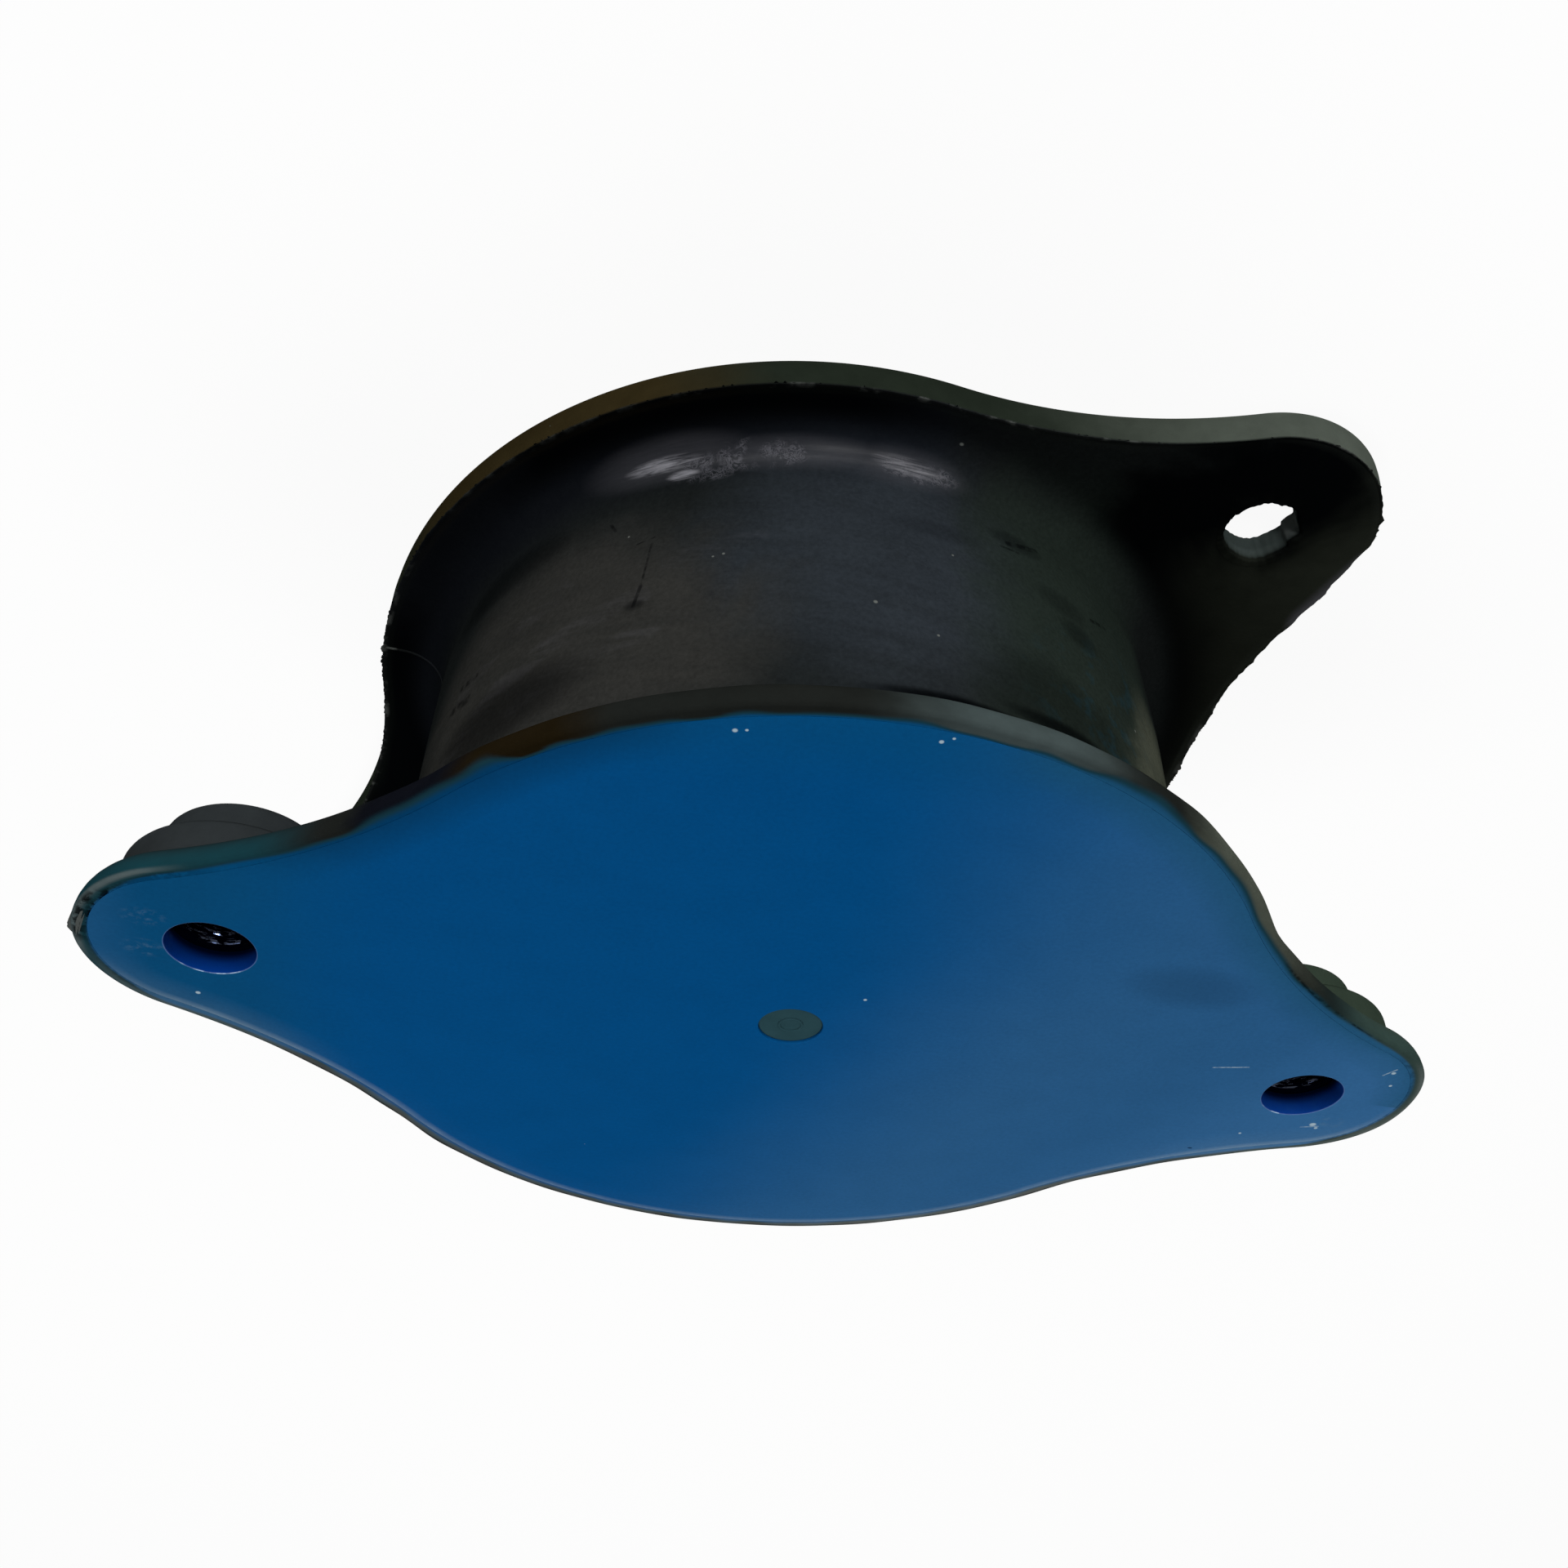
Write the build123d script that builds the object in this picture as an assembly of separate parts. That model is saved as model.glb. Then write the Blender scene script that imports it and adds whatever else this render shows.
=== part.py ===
from build123d import *
import math
import os

# Rubber buffer with two eared steel plates, turned against each other.
# Millimetres. The block's axis is Z. The rear plate lies on the plane Z = 0,
# the front plate's open face is at the top, and its ears point along X.

# Overall sizes
HEIGHT = 90.0
HOLE_PITCH = 225.0
REAR_TURN = 45.0

# Outline of a flange: a disc with two ears, joined by hollow flanks
DISC_RADIUS = 95.0
EAR_RADIUS = 25.0
FLANK_RADIUS = 124.0

# Steel plates, and the rubber round and behind them
PLATE_THICKNESS = 5.0
RUBBER_BORDER = 3.0
RUBBER_SKIN = 2.5
FACE_EDGE_CHAMFER = 0.6
FRONT_BACK_EDGE_CHAMFER = 3.5

# Round rubber block, set in from the discs, a little wider at the front for its draft, flared at its ends
REAR_WAIST_DEPTH = 14.5
FRONT_WAIST_DEPTH = 13.5
REAR_FLARE_REACH = 10.0
REAR_FLARE_HEIGHT = 8.0
FRONT_FLARE_REACH = 7.0
FRONT_FLARE_HEIGHT = 7.5

# M16 threaded bushes behind the ears of the front plate, and the bolts' room in plates and rubber
THREAD_DIAMETER = 16.0
THREAD_PITCH = 2.0
BOLT_CLEARANCE = 0.5
BUSH_RADIUS = 12.5
BUSH_LENGTH = 16.0
BUSH_MOUTH_CHAMFER = 1.0

# Stepped rubber bosses over the bushes, set in from the holes towards the block
BOSS_INSET = 1.8
BUSH_SIDE_COVER = 3.5
BUSH_END_COVER = 3.0
WIDE_STEP_MARGIN = 3.5
WIDE_STEP_HEIGHT = 7.9
STEP_EDGE_CHAMFER = 1.9

# Injection gate in the middle of the front plate, filled with rubber
GATE_RADIUS = 6.5
GATE_RECESS = 0.5

# Fixed form of a metric thread: its half angle, and the share of its sharp height that is cut
THREAD_HALF_ANGLE = 30.0
THREAD_DEPTH_SHARE = 5 / 8

# Sizes that follow from the others
HOLE_OFFSET = HOLE_PITCH / 2
BOLT_HOLE_RADIUS = THREAD_DIAMETER / 2 + BOLT_CLEARANCE
FLANGE_THICKNESS = PLATE_THICKNESS + RUBBER_SKIN
FRONT_PLATE_BACK = HEIGHT - PLATE_THICKNESS
FRONT_FLANGE_BACK = HEIGHT - FLANGE_THICKNESS
BLOCK_REAR_RADIUS = DISC_RADIUS - REAR_WAIST_DEPTH
BLOCK_FRONT_RADIUS = DISC_RADIUS - FRONT_WAIST_DEPTH
SHARP_THREAD_HEIGHT = THREAD_PITCH / 2 / math.tan(math.radians(THREAD_HALF_ANGLE))
THREAD_CORE_RADIUS = THREAD_DIAMETER / 2 - THREAD_DEPTH_SHARE * SHARP_THREAD_HEIGHT
BUSH_END = FRONT_PLATE_BACK - BUSH_LENGTH
WIDE_STEP_RADIUS = EAR_RADIUS - WIDE_STEP_MARGIN
WIDE_STEP_END = FRONT_FLANGE_BACK - WIDE_STEP_HEIGHT
NARROW_STEP_RADIUS = BUSH_RADIUS + BUSH_SIDE_COVER
NARROW_STEP_END = BUSH_END - BUSH_END_COVER


def flange_outline(inset):
    """The outline of a flange, drawn in by the inset: a disc and two ears joined by tangent arcs."""
    disc = DISC_RADIUS - inset
    ear = EAR_RADIUS - inset
    flank = FLANK_RADIUS + inset
    # A flank's centre lies at its own reach from the disc's centre and the ear's centre
    reach_disc = disc + flank
    reach_ear = ear + flank
    centre_x = (HOLE_OFFSET**2 + reach_disc**2 - reach_ear**2) / (2 * HOLE_OFFSET)
    centre_y = math.sqrt(reach_disc**2 - centre_x**2)
    on_disc = Vector(centre_x, centre_y) * (disc / reach_disc)
    ear_centre = Vector(HOLE_OFFSET, 0)
    flank_centre = Vector(centre_x, centre_y)
    on_ear = ear_centre + (flank_centre - ear_centre) * (ear / reach_ear)
    middle = ((on_disc + on_ear) * 0.5 - flank_centre).normalized()
    on_flank = flank_centre + middle * flank
    edges = []
    for side in (1, -1):
        edges.append(ThreePointArc(
            (side * on_disc.X, on_disc.Y), (side * on_flank.X, on_flank.Y), (side * on_ear.X, on_ear.Y)
        ))
        edges.append(ThreePointArc(
            (side * on_disc.X, -on_disc.Y), (side * on_flank.X, -on_flank.Y), (side * on_ear.X, -on_ear.Y)
        ))
        edges.append(ThreePointArc(
            (side * on_ear.X, on_ear.Y), (side * (HOLE_OFFSET + ear), 0), (side * on_ear.X, -on_ear.Y)
        ))
        edges.append(ThreePointArc(
            (on_disc.X, side * on_disc.Y), (0, side * disc), (-on_disc.X, side * on_disc.Y)
        ))
    return make_face(edges)


def flange_slab(inset, low, high):
    """A slab of the flange's outline between two heights."""
    return extrude(Pos(0, 0, low) * flange_outline(inset), amount=high - low)


def at_ears(shape):
    """A shape made on the axis, repeated at both bolt holes."""
    return [Pos(side * HOLE_OFFSET, 0, 0) * shape for side in (1, -1)]


def column(radius, low, high):
    """An upright cylinder between two heights."""
    return Pos(0, 0, low) * extrude(Circle(radius), amount=high - low)


def turned(shape):
    """A shape turned with the rear plate."""
    return Rot(0, 0, REAR_TURN) * shape


def front_plate():
    """Steel plate with two bolt holes and the gate hole."""
    plate = flange_slab(RUBBER_BORDER, FRONT_PLATE_BACK, HEIGHT)
    plate -= column(GATE_RADIUS, FRONT_PLATE_BACK, HEIGHT)
    plate -= at_ears(column(BOLT_HOLE_RADIUS, FRONT_PLATE_BACK, HEIGHT))
    return plate


def rear_plate():
    """Steel plate with two bolt holes, turned against the front one."""
    plate = flange_slab(RUBBER_BORDER, 0, PLATE_THICKNESS)
    plate -= at_ears(column(BOLT_HOLE_RADIUS, 0, PLATE_THICKNESS))
    return turned(plate)


def threaded_bush():
    """A round bush on the Z axis. Its thread's core is a plain bore, chamfered where the bolt enters."""
    bush = column(BUSH_RADIUS, BUSH_END, FRONT_PLATE_BACK)
    bush -= column(THREAD_CORE_RADIUS, BUSH_END, FRONT_PLATE_BACK)
    mouth = bush.faces().sort_by(Axis.Z)[-1].inner_wires().edges()
    return chamfer(mouth, BUSH_MOUTH_CHAMFER)


def block():
    """The round block with a hollow flare at each end, turned from its half profile."""
    # The block's ends lie inside the flanges, and reach midway from each flare's foot to the flange's edge
    core_low = FLANGE_THICKNESS / 2
    core_high = HEIGHT - FLANGE_THICKNESS / 2
    rear_foot = BLOCK_REAR_RADIUS + REAR_FLARE_REACH
    rear_reach = (rear_foot + DISC_RADIUS) / 2
    rear_end = Polyline(
        (0, core_low),
        (rear_reach, core_low),
        (rear_reach, FLANGE_THICKNESS),
        (rear_foot, FLANGE_THICKNESS),
    )
    rear_centre = (rear_foot, FLANGE_THICKNESS + REAR_FLARE_HEIGHT)
    rear_flare = EllipticalCenterArc(
        rear_centre, REAR_FLARE_REACH, REAR_FLARE_HEIGHT, start_angle=180, arc_size=90
    )
    front_foot = BLOCK_FRONT_RADIUS + FRONT_FLARE_REACH
    front_reach = (front_foot + DISC_RADIUS - FRONT_BACK_EDGE_CHAMFER) / 2
    front_end = Polyline(
        (front_foot, FRONT_FLANGE_BACK),
        (front_reach, FRONT_FLANGE_BACK),
        (front_reach, core_high),
        (0, core_high),
        (0, core_low),
    )
    front_centre = (front_foot, FRONT_FLANGE_BACK - FRONT_FLARE_HEIGHT)
    front_flare = EllipticalCenterArc(
        front_centre, FRONT_FLARE_REACH, FRONT_FLARE_HEIGHT, start_angle=90, arc_size=90
    )
    wall = Line((BLOCK_REAR_RADIUS, rear_centre[1]), (BLOCK_FRONT_RADIUS, front_centre[1]))
    profile = make_face([rear_end, rear_flare, wall, front_flare, front_end])
    return revolve(Plane.XZ * profile, Axis.Z)


def boss_step(radius, low):
    """One round step of a boss on the Z axis, from the flange's back down, with its lower edge eased."""
    step = column(radius, low, FRONT_FLANGE_BACK)
    return chamfer(step.edges().group_by(Axis.Z)[0], STEP_EDGE_CHAMFER)


def bosses():
    """The stepped bosses behind the front ears."""
    boss = boss_step(WIDE_STEP_RADIUS, WIDE_STEP_END) + boss_step(NARROW_STEP_RADIUS, NARROW_STEP_END)
    return [Pos(side * (HOLE_OFFSET - BOSS_INSET), 0, 0) * boss for side in (1, -1)]


def front_flange():
    """The front flange's outer form, eased at its face and more so at its back."""
    slab = flange_slab(0, FRONT_FLANGE_BACK, HEIGHT)
    slab = chamfer(slab.edges().group_by(Axis.Z)[0], FRONT_BACK_EDGE_CHAMFER)
    return chamfer(slab.edges().group_by(Axis.Z)[-1], FACE_EDGE_CHAMFER)


def rear_flange():
    """The rear flange's outer form, eased at its face and sharp where the mould parted."""
    slab = flange_slab(0, 0, FLANGE_THICKNESS)
    return turned(chamfer(slab.edges().group_by(Axis.Z)[0], FACE_EDGE_CHAMFER))


def rubber_body():
    """The whole moulding: block, flange skins and rims, bosses and gate plug, clear of all steel."""
    body = front_flange() + rear_flange() + block() + bosses()
    body -= flange_slab(RUBBER_BORDER, FRONT_PLATE_BACK, HEIGHT)
    body -= turned(flange_slab(RUBBER_BORDER, 0, PLATE_THICKNESS))
    body -= at_ears(column(BUSH_RADIUS, BUSH_END, FRONT_PLATE_BACK))
    body -= at_ears(column(BOLT_HOLE_RADIUS, NARROW_STEP_END, FRONT_PLATE_BACK))
    body -= [turned(hole) for hole in at_ears(column(BOLT_HOLE_RADIUS, 0, FLANGE_THICKNESS))]
    return body + column(GATE_RADIUS, FRONT_PLATE_BACK, HEIGHT - GATE_RECESS)


def parts():
    """Every piece by its name, in place."""
    bush_right, bush_left = at_ears(threaded_bush())
    return {
        "front_plate": front_plate(),
        "rear_plate": rear_plate(),
        "rubber_body": rubber_body(),
        "threaded_bush_left": bush_left,
        "threaded_bush_right": bush_right,
    }


os.makedirs("parts", exist_ok=True)
for name, shape in parts().items():
    export_step(shape, os.path.join("parts", name + ".step"))
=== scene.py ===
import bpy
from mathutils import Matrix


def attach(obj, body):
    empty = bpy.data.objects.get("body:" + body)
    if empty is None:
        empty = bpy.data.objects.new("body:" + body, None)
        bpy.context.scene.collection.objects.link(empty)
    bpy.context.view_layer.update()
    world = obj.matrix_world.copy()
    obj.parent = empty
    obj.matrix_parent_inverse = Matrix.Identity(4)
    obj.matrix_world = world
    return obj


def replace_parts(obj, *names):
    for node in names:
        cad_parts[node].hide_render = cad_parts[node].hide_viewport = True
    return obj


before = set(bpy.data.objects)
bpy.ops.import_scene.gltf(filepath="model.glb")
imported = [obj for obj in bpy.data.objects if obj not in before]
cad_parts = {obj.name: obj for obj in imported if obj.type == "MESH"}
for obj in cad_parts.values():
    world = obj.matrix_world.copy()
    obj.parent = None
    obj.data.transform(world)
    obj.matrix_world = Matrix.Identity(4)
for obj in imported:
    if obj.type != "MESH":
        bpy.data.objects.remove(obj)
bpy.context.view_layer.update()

import logging
import math
from dataclasses import dataclass, field
from enum import Enum
from functools import reduce
from typing import Callable, Iterable, Optional, Sequence, Union

import bmesh
import bpy
import numpy as np
from mathutils import Matrix, Vector

LOG = logging.getLogger("rubber_buffer")
MM = 0.001
TAU = 2 * math.pi
DIAGONAL = math.sqrt(0.5)
SLANT = math.pi / 4

# Sizes and heights in millimetres that several pieces share

HEIGHT = 90.0
FLANGE = 7.5
PLATE = 5.0
BORDER = 3.0
BOLT_HOLE = 8.5
BUSH = 12.5
BUSH_END = 69.0
GATE_HOLE = 6.5
FRONT_FACE = HEIGHT - PLATE
RIM_SPLIT = (40.0, 50.0)

# Kinds of value: an oval or a line lists a mark's place and sizes, a grain is a noise's settings, and a wave
# is the arguments of waves() after the angles

Colour = tuple[float, float, float, float]
Point = tuple[float, float, float]
Spot = tuple[float, float]
Oval = tuple[float, float, float, float]
Line = tuple[float, float, float, float, float]
Mark = tuple[Spot, Spot, float]
Grain = tuple[float, ...]
Patches = tuple[Grain, Spot]
Wave = tuple[float, ...]
Zones = tuple[Spot, Spot]
Ovals = tuple[Oval, ...]
Part = bpy.types.Object
Mesh = bpy.types.Mesh
Material = bpy.types.Material
Array = np.ndarray
Sized = Union[float, np.ndarray]


class Slot(Enum):
    """The record's finishes that a new piece can take."""

    PAINT = "blue_paint"
    RUBBER = "black_rubber"
    STEEL = "bush_steel"


def chip(*screen: int) -> Colour:
    """A colour as a shader takes it.

    Args:
        screen: The red, green and blue that a screen shows, from 0 to 255.

    Returns:
        The linear colour with full alpha.
    """
    parts = [value / 255 for value in screen]
    linear = [p / 12.92 if p <= 0.04045 else ((p + 0.055) / 1.055) ** 2.4 for p in parts]
    return (*linear, 1.0)


# Node recipes


class Signal:
    """One output socket of a node tree, with arithmetic that adds Math nodes."""

    def __init__(self, recipe: "NodeRecipe", socket: Optional[bpy.types.NodeSocket]) -> None:
        """Keeps the socket and the recipe that it belongs to."""
        self.recipe = recipe
        self.socket = socket

    def _math(self, operation: str, *terms: "Term") -> "Signal":
        """A Math node of that operation on the terms."""
        return self.recipe.node("ShaderNodeMath", {"operation": operation}, dict(enumerate(terms)))

    def __add__(self, other: "Term") -> "Signal":
        """This plus the other."""
        return self._math("ADD", self, other)

    __radd__ = __add__

    def __sub__(self, other: "Term") -> "Signal":
        """This less the other."""
        return self._math("SUBTRACT", self, other)

    def __rsub__(self, other: "Term") -> "Signal":
        """The other less this."""
        return self._math("SUBTRACT", other, self)

    def __mul__(self, other: "Term") -> "Signal":
        """This times the other."""
        return self._math("MULTIPLY", self, other)

    __rmul__ = __mul__

    def level(self, low: float, gain: float) -> "Signal":
        """This as a strength: low where it is 0, and more by the gain where it is 1."""
        return self * gain + low

    def clamp(self) -> "Signal":
        """This, kept from 0 to 1."""
        return self.recipe.node("ShaderNodeClamp", {}, {0: self})

    def most(self, other: "Term") -> "Signal":
        """The larger of this and the other."""
        return self._math("MAXIMUM", self, other)

    def direction(self, other: "Term") -> "Signal":
        """The angle in degrees whose rise is this and whose run is the other."""
        return self._math("ARCTAN2", self, other) * math.degrees(1)

    def length(self, other: "Term") -> "Signal":
        """The long side of the right triangle on this and the other."""
        return self._math("SQRT", self * self + other * other)

    def ease(self, low: float, high: float) -> "Signal":
        """A smooth step from 0 at low to 1 at high; low may be the larger.

        Args:
            low: The value that gives 0.
            high: The value that gives 1.

        Returns:
            The smooth step.
        """
        if low > high:
            return 1 - self.ease(high, low)
        settings = {"interpolation_type": "SMOOTHSTEP"}
        return self.recipe.node("ShaderNodeMapRange", settings, {0: self, 1: low, 2: high})


Term = Union[Signal, float]
Socketed = Union[Signal, float, tuple]


def any_of(marks: Iterable[Signal]) -> Signal:
    """The strongest of several marks."""
    return reduce(lambda first, second: first.most(second), marks)


class NodeRecipe:
    """A node tree, built call by call."""

    def __init__(self, tree: bpy.types.NodeTree) -> None:
        """Starts on an emptied tree."""
        self.tree = tree
        self.tree.nodes.clear()

    def node(self, kind: str, settings: dict, inputs: dict, output: Union[int, str] = 0) -> Signal:
        """Adds any node.

        Args:
            kind: The node's type.
            settings: Its own settings, which are set first.
            inputs: Values or links by the socket's name or number.
            output: The output that the signal stands for.

        Returns:
            The signal of that output.
        """
        made = self.tree.nodes.new(kind)
        for key, value in settings.items():
            setattr(made, key, value)
        for key, value in inputs.items():
            self.feed(made.inputs[key], value)
        return Signal(self, made.outputs[output] if made.outputs else None)

    def feed(self, socket: bpy.types.NodeSocket, value: Socketed) -> None:
        """Links a signal to a socket, or sets the socket's own value.

        Args:
            socket: The socket.
            value: The signal or the value.
        """
        if isinstance(value, Signal):
            self.tree.links.new(value.socket, socket)
        else:
            socket.default_value = value

    def seen(self) -> Signal:
        """1 for what the camera sees, also by reflection and through glass."""
        rays = ("Is Camera Ray", "Is Glossy Ray", "Is Transmission Ray")
        return any_of(self.node("ShaderNodeLightPath", {}, {}, ray) for ray in rays)


class Recipe(NodeRecipe):
    """A material with a Principled shader."""

    def __init__(self, name: str) -> None:
        """Makes a material of that name that so far has no colour.

        Args:
            name: The material's name.
        """
        self.material = bpy.data.materials.new(name)
        self.material.use_nodes = True
        super().__init__(self.material.node_tree)
        self.shader = self.tree.nodes.new("ShaderNodeBsdfPrincipled")
        self.out = self.tree.nodes.new("ShaderNodeOutputMaterial")
        self.tree.links.new(self.shader.outputs[0], self.out.inputs[0])
        self.place = self.node("ShaderNodeTexCoord", {}, {}, "Object")
        axes = [self.node("ShaderNodeSeparateXYZ", {}, {0: self.place}, i) for i in range(3)]
        self.x, self.y, self.z = (axis * (1 / MM) for axis in axes)

    def attribute(self, name: str) -> Signal:
        """A mask that the piece's mesh carries."""
        return self.node("ShaderNodeAttribute", {"attribute_name": name}, {}, "Fac")

    def noise(self, grain: float, detail: float = 2.0, rough: float = 0.5, warp: float = 0.0,
              stretch: Point = (1.0, 1.0, 1.0)) -> Signal:
        """Soft noise from 0 to 1.

        Args:
            grain: The size of its patches in millimetres.
            detail: How many finer layers it has.
            rough: How strong those are.
            warp: How far it is bent out of shape.
            stretch: How much finer it is along each axis.

        Returns:
            The noise.
        """
        at = self.place
        if stretch != (1.0, 1.0, 1.0):
            at = self.node("ShaderNodeMapping", {}, {"Vector": self.place, "Scale": stretch})
        values = {"Vector": at, "Scale": 1 / (grain * MM), "Detail": detail, "Roughness": rough}
        return self.node("ShaderNodeTexNoise", {}, {**values, "Distortion": warp})

    def patches(self, grain: Grain, zone: Spot) -> Signal:
        """Patches with soft edges, 1 inside: the noise's settings, and the values over which it fades in."""
        return self.noise(*grain).ease(*zone)

    def grain(self, across: Signal, up: Signal, size: Spot, detail: float, warp: float) -> Signal:
        """Soft noise from 0 to 1 on a surface that two signals measure, longer one way than the other.

        Args:
            across: The first measure in millimetres.
            up: The second measure in millimetres.
            size: The size of its patches along the two measures.
            detail: How many finer layers it has.
            warp: How far it is bent out of shape.

        Returns:
            The noise.
        """
        at = self.node("ShaderNodeCombineXYZ", {}, {0: across * (1 / size[0]), 1: up * (1 / size[1])})
        values = {"Vector": at, "Scale": 1.0, "Detail": detail, "Roughness": 0.6, "Distortion": warp}
        return self.node("ShaderNodeTexNoise", {}, values)

    def specks(self, gap: float, size: float, seed: float = 0.0) -> Signal:
        """Small scattered dots, 1 on a dot.

        Args:
            gap: The usual distance from one to the next in millimetres.
            size: A dot's radius in millimetres.
            seed: Moves the whole pattern.

        Returns:
            The dots as a mask.
        """
        values = {0: self.place, 1: (seed, seed, seed)}
        moved = self.node("ShaderNodeVectorMath", {"operation": "ADD"}, values)
        near = self.node("ShaderNodeTexVoronoi", {}, {"Vector": moved, "Scale": 1 / (gap * MM)})
        return near.ease(size / gap, 0.4 * size / gap)

    def patch(self, across: Signal, up: Signal, centre: Spot, reach: Spot, soft: float = 0.7) -> Signal:
        """One oval mark, 1 inside, on a surface that two signals measure.

        Args:
            across: The first measure.
            up: The second measure.
            centre: The mark's middle in the two measures.
            reach: Its half sizes in them.
            soft: The share of its size over which it fades.

        Returns:
            The mark as a mask.
        """
        side = (across - centre[0]) * (1 / reach[0])
        rise = (up - centre[1]) * (1 / reach[1])
        return (side * side + rise * rise).ease(1.0, (1 - soft) ** 2)

    def stroke(self, across: Signal, up: Signal, start: Spot, end: Spot, width: float) -> Signal:
        """One straight scratch or fold, 1 on its line, on a surface that two signals measure.

        Args:
            across: The first measure in millimetres.
            up: The second measure in millimetres.
            start: One end of the line.
            end: Its other end.
            width: Its half width.

        Returns:
            The line as a mask.
        """
        run = (end[0] - start[0], end[1] - start[1])
        square = run[0] ** 2 + run[1] ** 2
        off = (across - start[0], up - start[1])
        along = (off[0] * (run[0] / square) + off[1] * (run[1] / square)).clamp()
        gap = (off[0] - along * run[0], off[1] - along * run[1])
        return (gap[0] * gap[0] + gap[1] * gap[1]).ease(width * width, 0.1 * width * width)

    def mix(self, first: Socketed, second: Socketed, share: Term) -> Signal:
        """The first colour, going over to the second by the share."""
        return self.node("ShaderNodeMix", {"data_type": "RGBA"}, {0: share, 6: first, 7: second}, 2)

    def shade(self, colour: Socketed, factor: Term) -> Signal:
        """The colour made darker or lighter by the factor."""
        plain = colour[:3] if isinstance(colour, tuple) else colour
        return self.node("ShaderNodeVectorMath", {"operation": "SCALE"}, {0: plain, 3: factor}, 0)

    def finish(self, colour: Signal, rough: Term, height: Optional[Signal] = None, lift: float = 0.1,
               **constants: Socketed) -> Material:
        """Feeds the shader.

        Args:
            colour: The base colour.
            rough: The roughness.
            height: The surface's fine height, from 0 to 1.
            lift: That height's range in millimetres.
            constants: Values of the shader's other sockets, by name with underscores for spaces.

        Returns:
            The finished material.
        """
        self.feed(self.shader.inputs["Base Color"], colour)
        self.feed(self.shader.inputs["Roughness"], rough)
        for key, value in constants.items():
            self.feed(self.shader.inputs[key.replace("_", " ")], value)
        if height is not None:
            values = {"Height": height, "Distance": lift * MM, "Strength": 1.0}
            self.feed(self.shader.inputs["Normal"], self.node("ShaderNodeBump", {}, values))
        return self.material


# Finishes


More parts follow.
